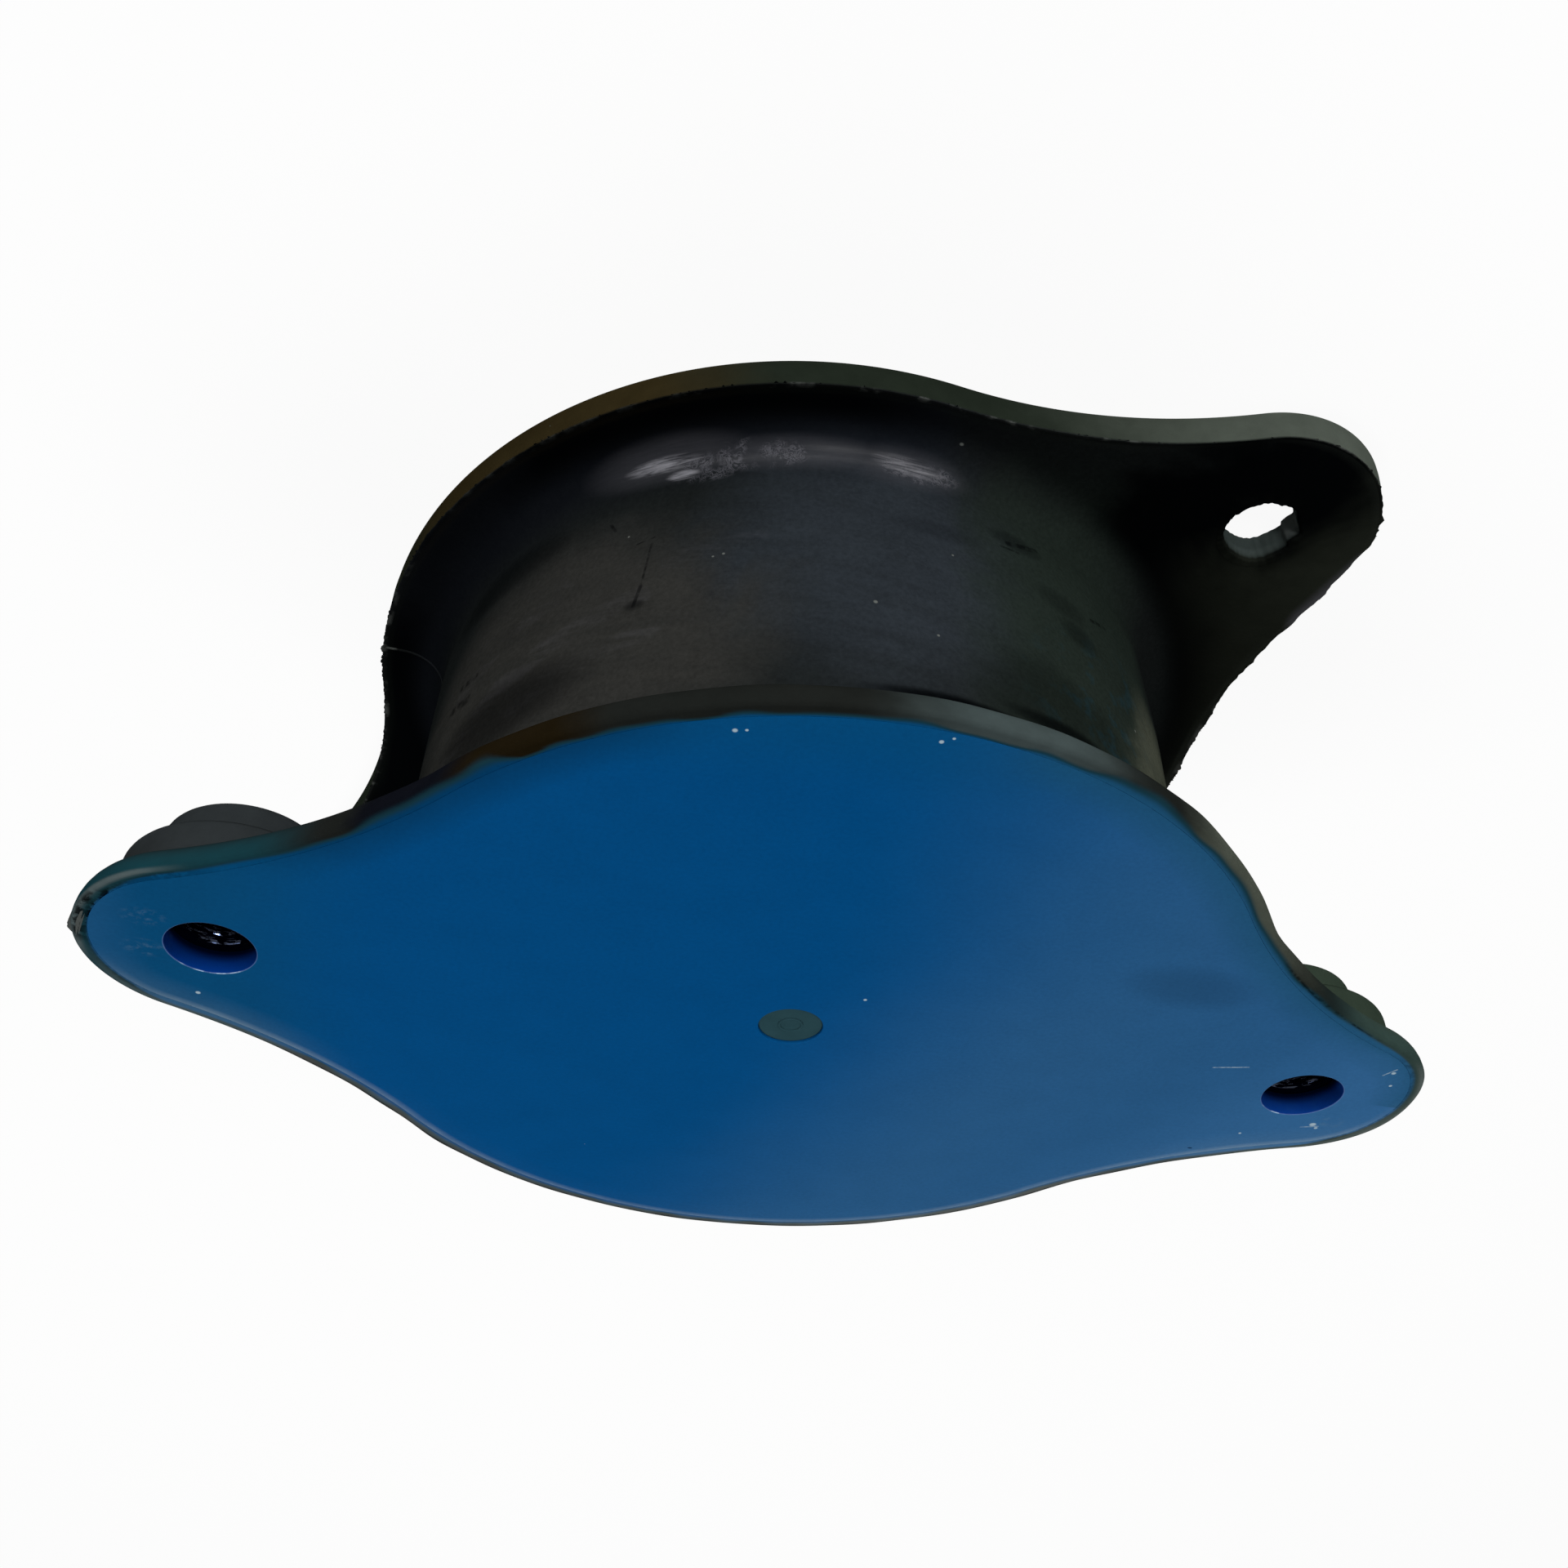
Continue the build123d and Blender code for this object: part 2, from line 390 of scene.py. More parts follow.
@dataclass(frozen=True)
class BluePaint:
    """Satin blue spray paint: vivid by the block, greener on one ear, with a painted sheen towards the other.

    A zone is a pair: where a tint starts and where it is full, in millimetres or degrees. A level is a pair
    for Signal.level. The drift is a noise that moves the zones.
    """

    deep: Colour = chip(2, 74, 129)
    green: Colour = chip(8, 73, 116)
    rear: Colour = chip(5, 75, 124)
    # painted_sheen and painted_sheen_far: painted sheen, a pale reflection laid into the paint's colour
    painted_sheen: Colour = chip(41, 90, 135)
    painted_sheen_far: Colour = chip(55, 105, 153)
    shadow: Colour = chip(6, 46, 74)
    teal: Colour = chip(26, 76, 102)
    # lip: the holes' rounded mouths, pale: partly a paint bead, partly painted highlight
    lip: Colour = chip(170, 196, 222)
    bore: Colour = chip(5, 54, 138)
    dust: Colour = chip(176, 196, 206)
    film: Colour = chip(92, 124, 150)
    nick: Colour = chip(4, 30, 60)
    rough: float = 0.5
    bore_gloss: float = 0.2
    shine: float = 0.003
    lift: float = 0.03
    drift: Grain = (60, 3, 0.55)
    fine: Grain = (0.9, 3, 0.65)
    cloud: Grain = (11, 4, 0.6)
    tone: Point = (0.76, 0.3, 0.18)
    orange_peel: Grain = (1.4, 2, 0.5)
    peel_height: float = 0.5
    rough_cloud: Grain = (9, 3)
    rough_share: float = 0.12
    green_zone: Spot = (74, 116)
    green_drift: float = 30
    rear_zone: Spot = (-70, -92)
    rear_drift: float = 14
    sheen_zone: Spot = (-12, 62)
    sheen_drift: float = 24
    sheen_slope: float = 0.25
    sheen_rear: float = -25
    sheen_far_zone: Spot = (-84, -124)
    sheen_far_slope: float = 0.4
    sheen_far_share: float = 0.7
    tip_sheen_zone: Spot = (122, 137)
    tip_sheen_share: float = 0.45
    ear_zone: Spot = (78, 112)
    ear_rear_zone: Spot = (2, 22)
    film_share: float = 0.34
    shadow_zones: Zones = ((-72, -56), (-12, -24))
    shadow_share: float = 0.6
    teal_zone: Spot = (-96, -106)
    teal_share: float = 0.55
    bore_cloud: Grain = (2, 2)
    bore_level: Spot = (0.85, 0.15)
    bore_shade_depth: Spot = (87.9, 85.4)
    bore_floor: Spot = (10, 20)
    bore_shade_strength: float = 0.92
    stain: Mark = ((-71.7, -33.2), (16, 9), 0.95)
    stain_share: float = 0.2
    films: tuple[Spot, ...] = ((124.0, -8.0), (124.6, 2.5), (-123.0, 9.5))
    films_reach: Spot = (5, 3.5)
    films_soft: float = 0.9
    films_patches: Patches = ((2.5, 4, 0.7), (0.46, 0.66))
    films_share: float = 0.3
    nick_mark: Mark = ((-99.7, 28.3), (0.7, 0.4), 0.5)
    nick_share: float = 0.8
    marks_share: float = 0.85
    lip_highlight_zone: Spot = (5.5, 7.5)
    lip_highlight_patches: Patches = ((2.4, 2), (0.46, 0.58))
    lip_bead_and_highlight_share: float = 0.16
    lip_highlight: float = 0.7
    big_specks: tuple[tuple[Spot, float], ...] = (
        ((29.4, -84.1), 0.55), ((-2.8, -89.4), 0.5), ((-4.5, -90.6), 0.35), ((-11.8, -13.4), 0.45),
        ((115.5, 16.5), 0.6), ((-121.0, 11.3), 0.9), ((-122.4, 12.6), 0.5), ((-126.3, -13.3), 0.6),
        ((-128.4, -8.4), 0.45), ((27.6, -84.6), 0.35), ((-62.0, 80.5), 0.5), ((-70.5, 60.2), 0.4),
        ((-107.4, 19.0), 0.4),
    )
    scratches: tuple[tuple[Spot, Spot, float], ...] = (
        ((-89.0, -6.2), (-96.0, -8.1), 0.3), ((122.6, -21.6), (119.0, -21.9), 0.35),
        ((-124.6, -12.0), (-126.2, -14.8), 0.25), ((-119.0, 13.0), (-122.5, 11.8), 0.3),
    )
    scratch_patches: Patches = ((0.7, 2), (0.35, 0.6))
    scratch_level: Spot = (0.35, 0.65)
    scratch_share: float = 0.6
    speck_soft: float = 0.6
    small_specks: Point = (17, 0.16, 0.4)
    speck_patches: Patches = ((50, 1), (0.52, 0.6))
    speck_share: float = 0.5
    edge_cloud: Grain = (5, 3, 0.6)
    edge_level: Spot = (0.12, 0.3)

    def colour(self, r: Recipe, brim: Term) -> Signal:
        """The paint's colour over the face, with its painted sheen and a painted shadow along the plate's
        edge.

        Args:
            r: The material's recipe.
            brim: How near the plate's edge it is, from 0 to 1.

        Returns:
            The colour.
        """
        drift = r.noise(*self.drift) - 0.5
        fine = r.noise(*self.fine)
        cloud = r.noise(*self.cloud)
        # Painted sheen: the paint grows paler towards the -X ear and the +Y edge, most at the -X ear, and at
        # the +X ear's tip
        toward = r.y.most(self.sheen_rear) * self.sheen_slope - r.x + drift * self.sheen_drift
        across = r.x - r.y * self.sheen_far_slope
        turn = r.y.direction(r.x)
        shadow = turn.ease(*self.shadow_zones[0]) * turn.ease(*self.shadow_zones[1])
        ears = (r.x * r.x).ease(*(x**2 for x in self.ear_zone)) * r.y.ease(*self.ear_rear_zone)
        colour = r.mix(self.deep, self.green, (r.x + drift * self.green_drift).ease(*self.green_zone))
        colour = r.mix(colour, self.rear, (r.y + drift * self.rear_drift).ease(*self.rear_zone))
        colour = r.mix(colour, self.painted_sheen, toward.ease(*self.sheen_zone))
        colour = r.mix(colour, self.painted_sheen_far, across.ease(*self.sheen_far_zone) * self.sheen_far_share)
        colour = r.mix(colour, self.painted_sheen, r.x.ease(*self.tip_sheen_zone) * self.tip_sheen_share)
        colour = r.mix(colour, self.film, ears * brim * self.film_share)
        colour = r.mix(colour, self.shadow, shadow * brim * self.shadow_share)
        colour = r.mix(colour, self.teal, turn.ease(*self.teal_zone) * brim * self.teal_share)
        low, by_fine, by_cloud = self.tone
        return r.shade(colour, low + fine * by_fine + cloud * by_cloud)

    def wear(self, r: Recipe) -> Signal:
        """Where specks, scratches and a rubbed edge show pale.

        Args:
            r: The material's recipe.

        Returns:
            The wear as a mask.
        """
        rubbed = r.attribute("edge") * r.noise(*self.edge_cloud).level(*self.edge_level)
        dots = [r.patch(r.x, r.y, centre, (size, size), self.speck_soft) for centre, size in self.big_specks]
        lines = [r.stroke(r.x, r.y, *line) for line in self.scratches]
        small = r.specks(*self.small_specks) * r.patches(*self.speck_patches) * self.speck_share
        broken = r.patches(*self.scratch_patches).level(*self.scratch_level)
        return any_of(dots).most(any_of(lines) * broken * self.scratch_share).most(small).most(rubbed)

    def material(self) -> Material:
        """Builds the paint.

        Returns:
            The material.
        """
        r = Recipe("satin_blue_paint")
        inside = r.attribute("bore")
        # Painted shade: the bolt holes' walls darken with depth below the open face
        depth = r.z.ease(*self.bore_shade_depth)
        films = any_of(r.patch(r.x, r.y, centre, self.films_reach, self.films_soft) for centre in self.films)
        # Painted highlight: brighter patches on the mouths' +Y side
        bright = r.patches(*self.lip_highlight_patches) * r.y.ease(*self.lip_highlight_zone)
        colour = self.colour(r, r.attribute("brim"))
        colour = r.mix(colour, self.bore, inside * r.noise(*self.bore_cloud).level(*self.bore_level))
        colour = r.shade(colour, 1 - inside * depth * r.z.ease(*self.bore_floor) * self.bore_shade_strength)
        colour = r.shade(colour, 1 - r.patch(r.x, r.y, *self.stain) * self.stain_share)
        colour = r.mix(colour, self.film, films * r.patches(*self.films_patches) * self.films_share)
        colour = r.mix(colour, self.dust, self.wear(r) * self.marks_share)
        colour = r.mix(colour, self.lip, r.attribute("lip") * (self.lip_bead_and_highlight_share + bright * self.lip_highlight))
        colour = r.mix(colour, self.nick, r.patch(r.x, r.y, *self.nick_mark) * self.nick_share)
        rough = self.rough + r.noise(*self.rough_cloud) * self.rough_share - inside * self.bore_gloss
        height = r.noise(*self.orange_peel) * self.peel_height
        return r.finish(colour, rough, height, self.lift, Specular_IOR_Level=self.shine)


@dataclass(frozen=True)
class BlackRubber:
    """Black moulded rubber: smeared and tinted on the block, grey on its rims, oversprayed at the front, with
    painted shade and highlights.

    Marks on the block lie at an angle in degrees and at a rise: the distance in millimetres down its wall and
    then out over the rear flare. Zones, levels and drifts are as in the paint.
    """

    black: Colour = chip(24, 27, 27)
    warm: Colour = chip(44, 44, 42)
    cool: Colour = chip(38, 43, 48)
    green: Colour = chip(32, 40, 35)
    edge_sheen: Colour = chip(66, 69, 59)
    deep: Colour = chip(3, 4, 5)
    # night: dark blue-black, laid over the rear flare as painted shade, and on one arc of the front rim
    night: Colour = chip(10, 12, 20)
    rim_brown: Colour = chip(46, 39, 22)
    rim_dark: Colour = chip(32, 38, 31)
    rim_light: Colour = chip(74, 80, 73)
    front_dark: Colour = chip(27, 29, 27)
    front_light: Colour = chip(62, 72, 72)
    front_pale: Colour = chip(76, 81, 72)
    front_ear: Colour = chip(54, 66, 58)
    fringe: Colour = chip(22, 53, 64)
    fringe_grey: Colour = chip(48, 66, 66)
    ear_back: Colour = chip(36, 39, 33)
    # glint: painted highlight colour for the brightest places on the rear flare
    glint: Colour = chip(132, 132, 138)
    tan: Colour = chip(26, 19, 6)
    boss_warm: Colour = chip(44, 48, 50)
    boss_green: Colour = chip(48, 60, 50)
    worn: Colour = chip(112, 116, 112)
    pale: Colour = chip(118, 124, 122)
    spray: Colour = chip(14, 64, 74)
    scuff_and_highlight: Colour = chip(84, 84, 90)
    wall: float = 81.0
    foot: float = 80.5
    rough: float = 0.42
    cloud_rough: float = 0.14
    rim_rough: float = 0.16
    shine: float = 0.0
    gloss: float = 0.22
    gloss_rough: float = 0.3
    lift: float = 0.14
    drift: Grain = (34, 4, 0.6, 0.5)
    turn_drift: float = 26
    rise_drift: float = 14
    cloud: Grain = (12, 5, 0.62)
    fine: Grain = (0.9, 3, 0.65)
    small_cloud: Grain = (6, 5, 0.65)
    pores: Grain = (0.8, 3, 0.6)
    pore_height: float = 0.22
    dents: Grain = (6, 3, 0.65)
    dent_height: float = 0.45
    tone: Point = (0.37, 0.46, 0.8)
    damp: Patches = ((5, 3, 0.6), (0.5, 0.64))
    smear_size: Spot = (34, 4.5)
    smear_lean: float = 0.2
    smear_zone: Spot = (0.42, 0.7)
    fibre_size: Spot = (7, 0.8)
    cool_patch: Mark = ((-88, 36), (30, 46), 0.8)
    green_patch: Mark = ((-122, 40), (26, 60), 0.7)
    green_share: float = 0.85
    damp_patch: Mark = ((-128, 58), (22, 26), 0.7)
    damp_share: float = 0.3
    warm_patch: Mark = ((-42, 56), (36, 40), 0.45)
    warm_level: Spot = (0.55, 0.7)
    edge_sheen_patch: Mark = ((-139, 60), (15, 30), 0.8)
    dim_patch: Mark = ((-113, 62), (13, 12), 0.9)
    dim_share: float = 0.34
    bluish_patch: Mark = ((-22, -5), (22, 15), 0.7)
    bluish_share: float = 0.8
    smear_share: float = 0.14
    fold_patches: Patches = ((2, 3), (0.3, 0.6))
    fold_depth: float = 0.75
    fold_share: float = 0.85
    blot_soft: float = 0.85
    blot_level: Spot = (0.7, 0.6)
    spot_share: float = 0.6
    flare_shade_zone: Spot = (20, 7)
    flare_shade_share: float = 0.6
    flare_unshaded_zones: Zones = ((-88, -110), (100, 150))
    skin_shade_zone: Spot = (6, -3)
    skin_shade_share: float = 0.96
    skin_less_shade_zones: Zones = ((-80, -98), (-126, -115))
    skin_less_shade: float = 0.7
    far_zones: Zones = ((-130, -143), (120, 160))
    far_out: Spot = (84, 108)
    far_level: Spot = (0.6, 0.8)
    ear_edge: tuple[Spot, Spot, float] = ((-107.5, -76.5), (-102.5, -59.5), 7.0)
    ear_edge_low: Spot = (20, 12)
    ear_edge_share: float = 0.85
    rim_drift: Grain = (16, 3)
    rim_turn: float = 9
    rim_level: Spot = (0.72, 0.56)
    rear_light_zones: Zones = ((-101, -130), (130, 165))
    rear_brown_zones: Zones = ((-76, -58), (-8, -30))
    front_light_zones: Zones = ((-83, -97), (-116, -104))
    front_pale_zones: Zones = ((-118, -128), (-162, -142))
    tan_zones: Zones = ((-61, -53), (-36, -42))
    night_zones: Zones = ((-44, -38), (-26, -30))
    front_ear_zone: Spot = (-100, -114)
    boss_out: Spot = (88, 96)
    boss_high: Spot = (50, 60)
    boss_level: Spot = (0.75, 0.5)
    boss_share: float = 0.85
    side_zone: Spot = (20, -20)
    boss_step_shade_zones: Zones = ((76.0, 75.0), (73.2, 74.2))
    boss_step_shade_strength: float = 0.6
    torn_zones: Zones = ((-62, -84), (-22, -8))
    torn_level: Spot = (0.1, 0.24)
    torn_patches: Patches = ((4.5, 3, 0.6), (0.48, 0.66))
    torn_patch_level: Spot = (0.1, 0.9)
    rim_specks: Point = (5, 0.22, 0.7)
    rim_speck_patches: Patches = ((20, 1), (0.5, 0.6))
    rim_speck_share: float = 0.5
    glint_zone: Spot = (-115, -100)
    glint_level: Spot = (0.4, 0.6)
    fringe_zone: Spot = (-95, -125)
    fringe_cover: Spot = (0.0, 0.5)
    paint_cover: Spot = (0.4, 1.0)
    spray_level: Spot = (0.75, 0.5)
    pale_level: Spot = (0.5, 0.6)
    crack_and_shade_patches: Patches = ((1.6, 3, 0.6), (0.38, 0.56))
    smears: tuple[Line, ...] = (
        (-21, 64, -34, 54, 3.2), (-34, 54, -56, 46, 3.6), (-24, 46, -44, 36, 3.0), (-38, 62, -58, 56, 3.0),
        (-60, 38, -72, 34, 2.4),
    )
    folds: tuple[Line, ...] = (
        (-57.3, 31.7, -56.4, 43.0, 0.32), (-56.4, 43.0, -55.6, 48.5, 0.5), (-107.4, 22.8, -112.7, 20.4, 0.8),
        (-106.2, 24.6, -109.2, 24.2, 0.4), (-123.4, 29.4, -127.4, 27.4, 0.6), (-50.5, 22.0, -51.4, 24.5, 0.4),
        (-27.4, 43.7, -23.5, 43.1, 1.1), (-26.1, 49.2, -21.6, 48.0, 1.5), (-55.0, 30.6, -57.6, 29.9, 0.2),
    )
    # Dark blots: most are stains; the two at -97 and -113 degrees near rise 70 are painted shade, a dark band
    # on the wall just behind the front rim
    blots_and_shade: tuple[Line, ...] = (
        (-55.7, 48.2, 2.6, 1.8, 0.6), (-119.4, 38.0, 6.5, 4.0, 0.4), (-35.0, 61.5, 26.0, 10.0, 0.62),
        (-109.0, 21.5, 8.0, 3.0, 0.45), (-97.0, 72.5, 21.0, 2.2, 0.95), (-113.0, 69.0, 16.0, 2.6, 0.8),
        (-116.6, 32.0, 9.0, 4.0, 0.3), (-30.0, 20.0, 26.0, 6.0, 0.5), (-96.0, 27.0, 12.0, 3.0, 0.25),
    )
    dots: tuple[Point, ...] = (
        (-86.8, 51.4, 0.5), (-98.3, 0.8, 0.5), (-98.0, 33.0, 0.3), (-67.4, 38.2, 0.35), (-94.8, 57.0, 0.35),
        (-53.6, 27.5, 0.3), (-66.0, 38.6, 0.3), (-131.0, 52.0, 0.4),
    )
    wide_glow: Ovals = ((-59, 8, 20, 8), (-92, 11, 15, 7), (-76, 10, 26, 6))
    wide_soft: float = 0.95
    wide_share: float = 0.45
    wide_level: Spot = (0.6, 0.8)
    tight_soft: float = 0.92
    fibre_zone: Spot = (0.28, 0.76)
    tight_glow: tuple[Line, ...] = (
        (-58.5, 9.2, 9.0, 2.6, 0.0), (-61.0, 13.2, 4.0, 1.6, 0.0), (-92.3, 10.4, 8.5, 3.0, 0.13),
    )
    scuffed: Ovals = ((-64.5, 12.8, 8.5, 4.2), (-71.5, 10.0, 12.0, 5.0), (-94.0, 11.3, 9.0, 3.8))
    scuffed_soft: float = 0.4
    scuffed_patches: Patches = ((3, 2), (0.38, 0.6))
    scuff_and_highlight_shares: Point = (0.42, 0.3, 0.6)
    squiggle: Grain = (2.0, 4, 0.7, 2.2)
    squiggle_zone: Spot = (0.004, 0.0)

    def at(self, degrees: float) -> float:
        """How far along the block's wall an angle lies, in millimetres."""
        return math.radians(degrees) * self.wall

    def lines(self, r: Recipe, along: Signal, rise: Signal, places: Iterable[Line]) -> Signal:
        """Straight marks on the block.

        Args:
            r: The material's recipe.
            along: Millimetres along the wall.
            rise: The rise in millimetres.
            places: Each line's angle and rise at both ends, and its half width.

        Returns:
            The marks as one mask.
        """
        return any_of(r.stroke(along, rise, (self.at(a), b), (self.at(c), d), w) for a, b, c, d, w in places)

    def ovals(self, r: Recipe, along: Signal, rise: Signal, places: Iterable[Oval], soft: float) -> Signal:
        """Oval marks on the block.

        Args:
            r: The material's recipe.
            along: Millimetres along the wall.
            rise: The rise in millimetres.
            places: Each oval's angle, rise and two half sizes.
            soft: The share of its size over which it fades.

        Returns:
            The marks as one mask.
        """
        return any_of(r.patch(along, rise, (self.at(a), b), (c, d), soft) for a, b, c, d in places)

    def body(self, r: Recipe, turn: Signal, along: Signal, rise: Signal) -> Signal:
        """The bare rubber's colour over the block, its flares and the rear skin, with painted shade in a band
        behind the front rim and on the rear flare and skin.

        Args:
            r: The material's recipe.
            turn: The angle in degrees.
            along: Millimetres along the wall.
            rise: The rise in millimetres.

        Returns:
            The colour.
        """
        drift = r.noise(*self.drift) - 0.5
        cloud = r.noise(*self.cloud)
        smear = r.grain(along, rise + along * self.smear_lean, self.smear_size, 4, 0.3)
        turn = turn + drift * self.turn_drift
        up = rise + drift * self.rise_drift
        damp = r.patch(turn, up, *self.damp_patch) * r.patches(*self.damp)
        warm = r.patch(turn, up, *self.warm_patch) * smear.level(*self.warm_level)
        # Painted sheen: a paler olive-grey along the block's edge near -139 degrees
        edge_sheen = r.patch(turn, up, *self.edge_sheen_patch) * (0.5 + cloud).clamp()
        colour = r.mix(self.black, self.cool, r.patch(turn, up, *self.cool_patch) * (0.5 + smear))
        colour = r.mix(colour, self.green, r.patch(turn, up, *self.green_patch) * self.green_share)
        colour = r.mix(colour, self.fringe, damp * self.damp_share)
        colour = r.mix(colour, self.warm, warm.clamp())
        colour = r.mix(colour, self.edge_sheen, edge_sheen)
        colour = r.shade(colour, 1 - r.patch(turn, up, *self.dim_patch) * self.dim_share)
        strokes = self.lines(r, along, rise, self.smears)
        colour = r.mix(colour, self.scuff_and_highlight, strokes * smear.ease(*self.smear_zone) * self.smear_share)
        blots_and_shade = any_of(r.patch(along, rise, (self.at(a), b), (c, d), self.blot_soft) * share
                       for a, b, c, d, share in self.blots_and_shade)
        colour = r.mix(colour, self.deep, blots_and_shade * cloud.level(*self.blot_level).clamp())
        low, by_cloud, by_fine = self.tone
        colour = r.shade(colour, low + by_cloud * cloud + by_fine * r.noise(*self.fine))
        return self.skin(r, colour, turn, rise, cloud)

    def skin(self, r: Recipe, colour: Signal, turn: Signal, rise: Signal, cloud: Signal) -> Signal:
        """The colour with painted shade: dark on the rear flare and near black on the rear skin, lighter on
        the far rear ear, with that skin's own tints.

        Args:
            r: The material's recipe.
            colour: The block's colour.
            turn: The angle in degrees, with some drift.
            rise: The rise in millimetres.
            cloud: Noise that mottles it.

        Returns:
            The colour.
        """
        first, second = self.flare_unshaded_zones
        plain = turn.ease(*first).most(turn.ease(*second))
        outer = self.flare_shade_share - self.flare_shade_share * plain
        # Painted shade: the rear flare darkens towards night, except on two arcs
        colour = r.mix(colour, self.night, rise.ease(*self.flare_shade_zone) * outer)
        bluish = r.patch(turn, rise, *self.bluish_patch)
        first, second = self.skin_less_shade_zones
        deep = self.skin_shade_share - self.skin_less_shade * turn.ease(*first) * turn.ease(*second)
        deep = deep - self.bluish_share * bluish
        # Painted shade: the rear skin goes near black, less so on some arcs and in the bluish patch
        colour = r.mix(colour, self.deep, rise.ease(*self.skin_shade_zone) * deep)
        # The far rear ear, out of the front flange's shade, takes a lighter grey instead of the painted shade
        first, second = self.far_zones
        far = turn.ease(*first).most(turn.ease(*second)) * r.x.length(r.y).ease(*self.far_out)
        colour = r.mix(colour, r.shade(self.ear_back, cloud.level(*self.far_level)), far)
        pale_edge = r.stroke(r.x, r.y, *self.ear_edge) * r.z.ease(*self.ear_edge_low)
        return r.mix(colour, self.scuff_and_highlight, pale_edge * self.ear_edge_share)

    def glow(self, r: Recipe, along: Signal, rise: Signal) -> tuple[Signal, Signal]:
        """Painted highlights on the rear flare; the same masks also give it a glossy coat.

        Args:
            r: The material's recipe.
            along: Millimetres along the wall.
            rise: The rise in millimetres.

        Returns:
            A wide faint mask and a tight bright one.
        """
        fibres = r.grain(along, rise, self.fibre_size, 4, 0.6)
        wide = self.ovals(r, along, rise, self.wide_glow, self.wide_soft)
        tight = any_of(
            r.patch(along, rise + (along - self.at(a)) * lean, (self.at(a), b), (c, d), self.tight_soft)
            for a, b, c, d, lean in self.tight_glow)
        faint = wide * self.wide_share * fibres.level(*self.wide_level)
        return faint, tight * fibres.ease(*self.fibre_zone)

    def rubbed(self, r: Recipe, along: Signal, rise: Signal) -> Signal:
        """The squiggled scuff patches on the rear flare.

        Args:
            r: The material's recipe.
            along: Millimetres along the wall.
            rise: The rise in millimetres.

        Returns:
            The patches as a mask.
        """
        squiggle = r.noise(*self.squiggle)
        lines = (squiggle - 0.5) * (squiggle - 0.5)
        zone = self.ovals(r, along, rise, self.scuffed, self.scuffed_soft)
        return zone * lines.ease(*self.squiggle_zone) * r.patches(*self.scuffed_patches)

    def edges(self, r: Recipe, turn: Signal, cloud: Signal) -> Signal:
        """The rims' colour, each rim with its own zones round the axis.

        Args:
            r: The material's recipe.
            turn: The angle in degrees.
            cloud: Noise that mottles it.

        Returns:
            The colour.
        """
        mottled = turn + (r.noise(*self.rim_drift) - 0.5) * self.rim_turn
        first, second = self.rear_light_zones
        rear = r.mix(self.rim_dark, self.rim_light, mottled.ease(*first).most(mottled.ease(*second)))
        rear = r.mix(rear, self.rim_brown, self.between(mottled, self.rear_brown_zones))
        front = r.mix(self.front_dark, self.front_light, self.between(mottled, self.front_light_zones))
        front = r.mix(front, self.front_pale, self.between(mottled, self.front_pale_zones))
        front = r.mix(front, self.tan, self.between(mottled, self.tan_zones))
        front = r.mix(front, self.night, self.between(mottled, self.night_zones))
        front = r.mix(front, self.front_ear, r.x.ease(*self.front_ear_zone))
        return r.shade(r.mix(rear, front, r.z.ease(*RIM_SPLIT)), cloud.level(*self.rim_level))

    def between(self, measure: Signal, zones: Zones) -> Signal:
        """1 between two zones of a measure, each the fade at one end."""
        return measure.ease(*zones[0]) * measure.ease(*zones[1])

    def handled(self, r: Recipe, turn: Signal, along: Signal, rise: Signal,
                worn: tuple[Signal, Signal]) -> Signal:
        """The block's colour with its scuffs, painted highlights and glints, specks and folds.

        Args:
            r: The material's recipe.
            turn: The angle in degrees.
            along: Millimetres along the wall.
            rise: The rise in millimetres.
            worn: The faint and the bright mask of the painted highlights.

        Returns:
            The colour.
        """
        smooth, bright = worn
        scuffs = self.rubbed(r, along, rise)
        spots = any_of(r.patch(along, rise, (self.at(a), b), (c, c)) for a, b, c in self.dots)
        dark = self.lines(r, along, rise, self.folds) * r.patches(*self.fold_patches) * self.fold_depth
        by_smooth, by_bright, by_scuffs = self.scuff_and_highlight_shares
        # Painted highlights on the rear flare, mixed with the real scuffs; the brightest also take the glint
        # colour
        rubbed = smooth * by_smooth + bright * by_bright + scuffs * by_scuffs
        colour = self.body(r, turn, along, rise)
        colour = r.mix(colour, self.scuff_and_highlight, rubbed.clamp())
        colour = r.mix(colour, self.glint, bright * along.ease(*self.glint_zone).level(*self.glint_level))
        colour = r.mix(colour, self.worn, spots * self.spot_share)
        return r.mix(colour, self.deep, dark * self.fold_share)

    def trimmed(self, r: Recipe, colour: Signal, turn: Signal, cloud: Signal) -> Signal:
        """The colour with the bosses and painted shade in their step, the rims and the torn edge.

        Args:
            r: The material's recipe.
            colour: The block's colour.
            turn: The angle in degrees.
            cloud: Noise that mottles it.

        Returns:
            The colour.
        """
        bosses = (r.x * r.x).ease(*(x**2 for x in self.boss_out)) * r.z.ease(*self.boss_high)
        tint = r.mix(self.boss_warm, self.boss_green, r.x.ease(*self.side_zone))
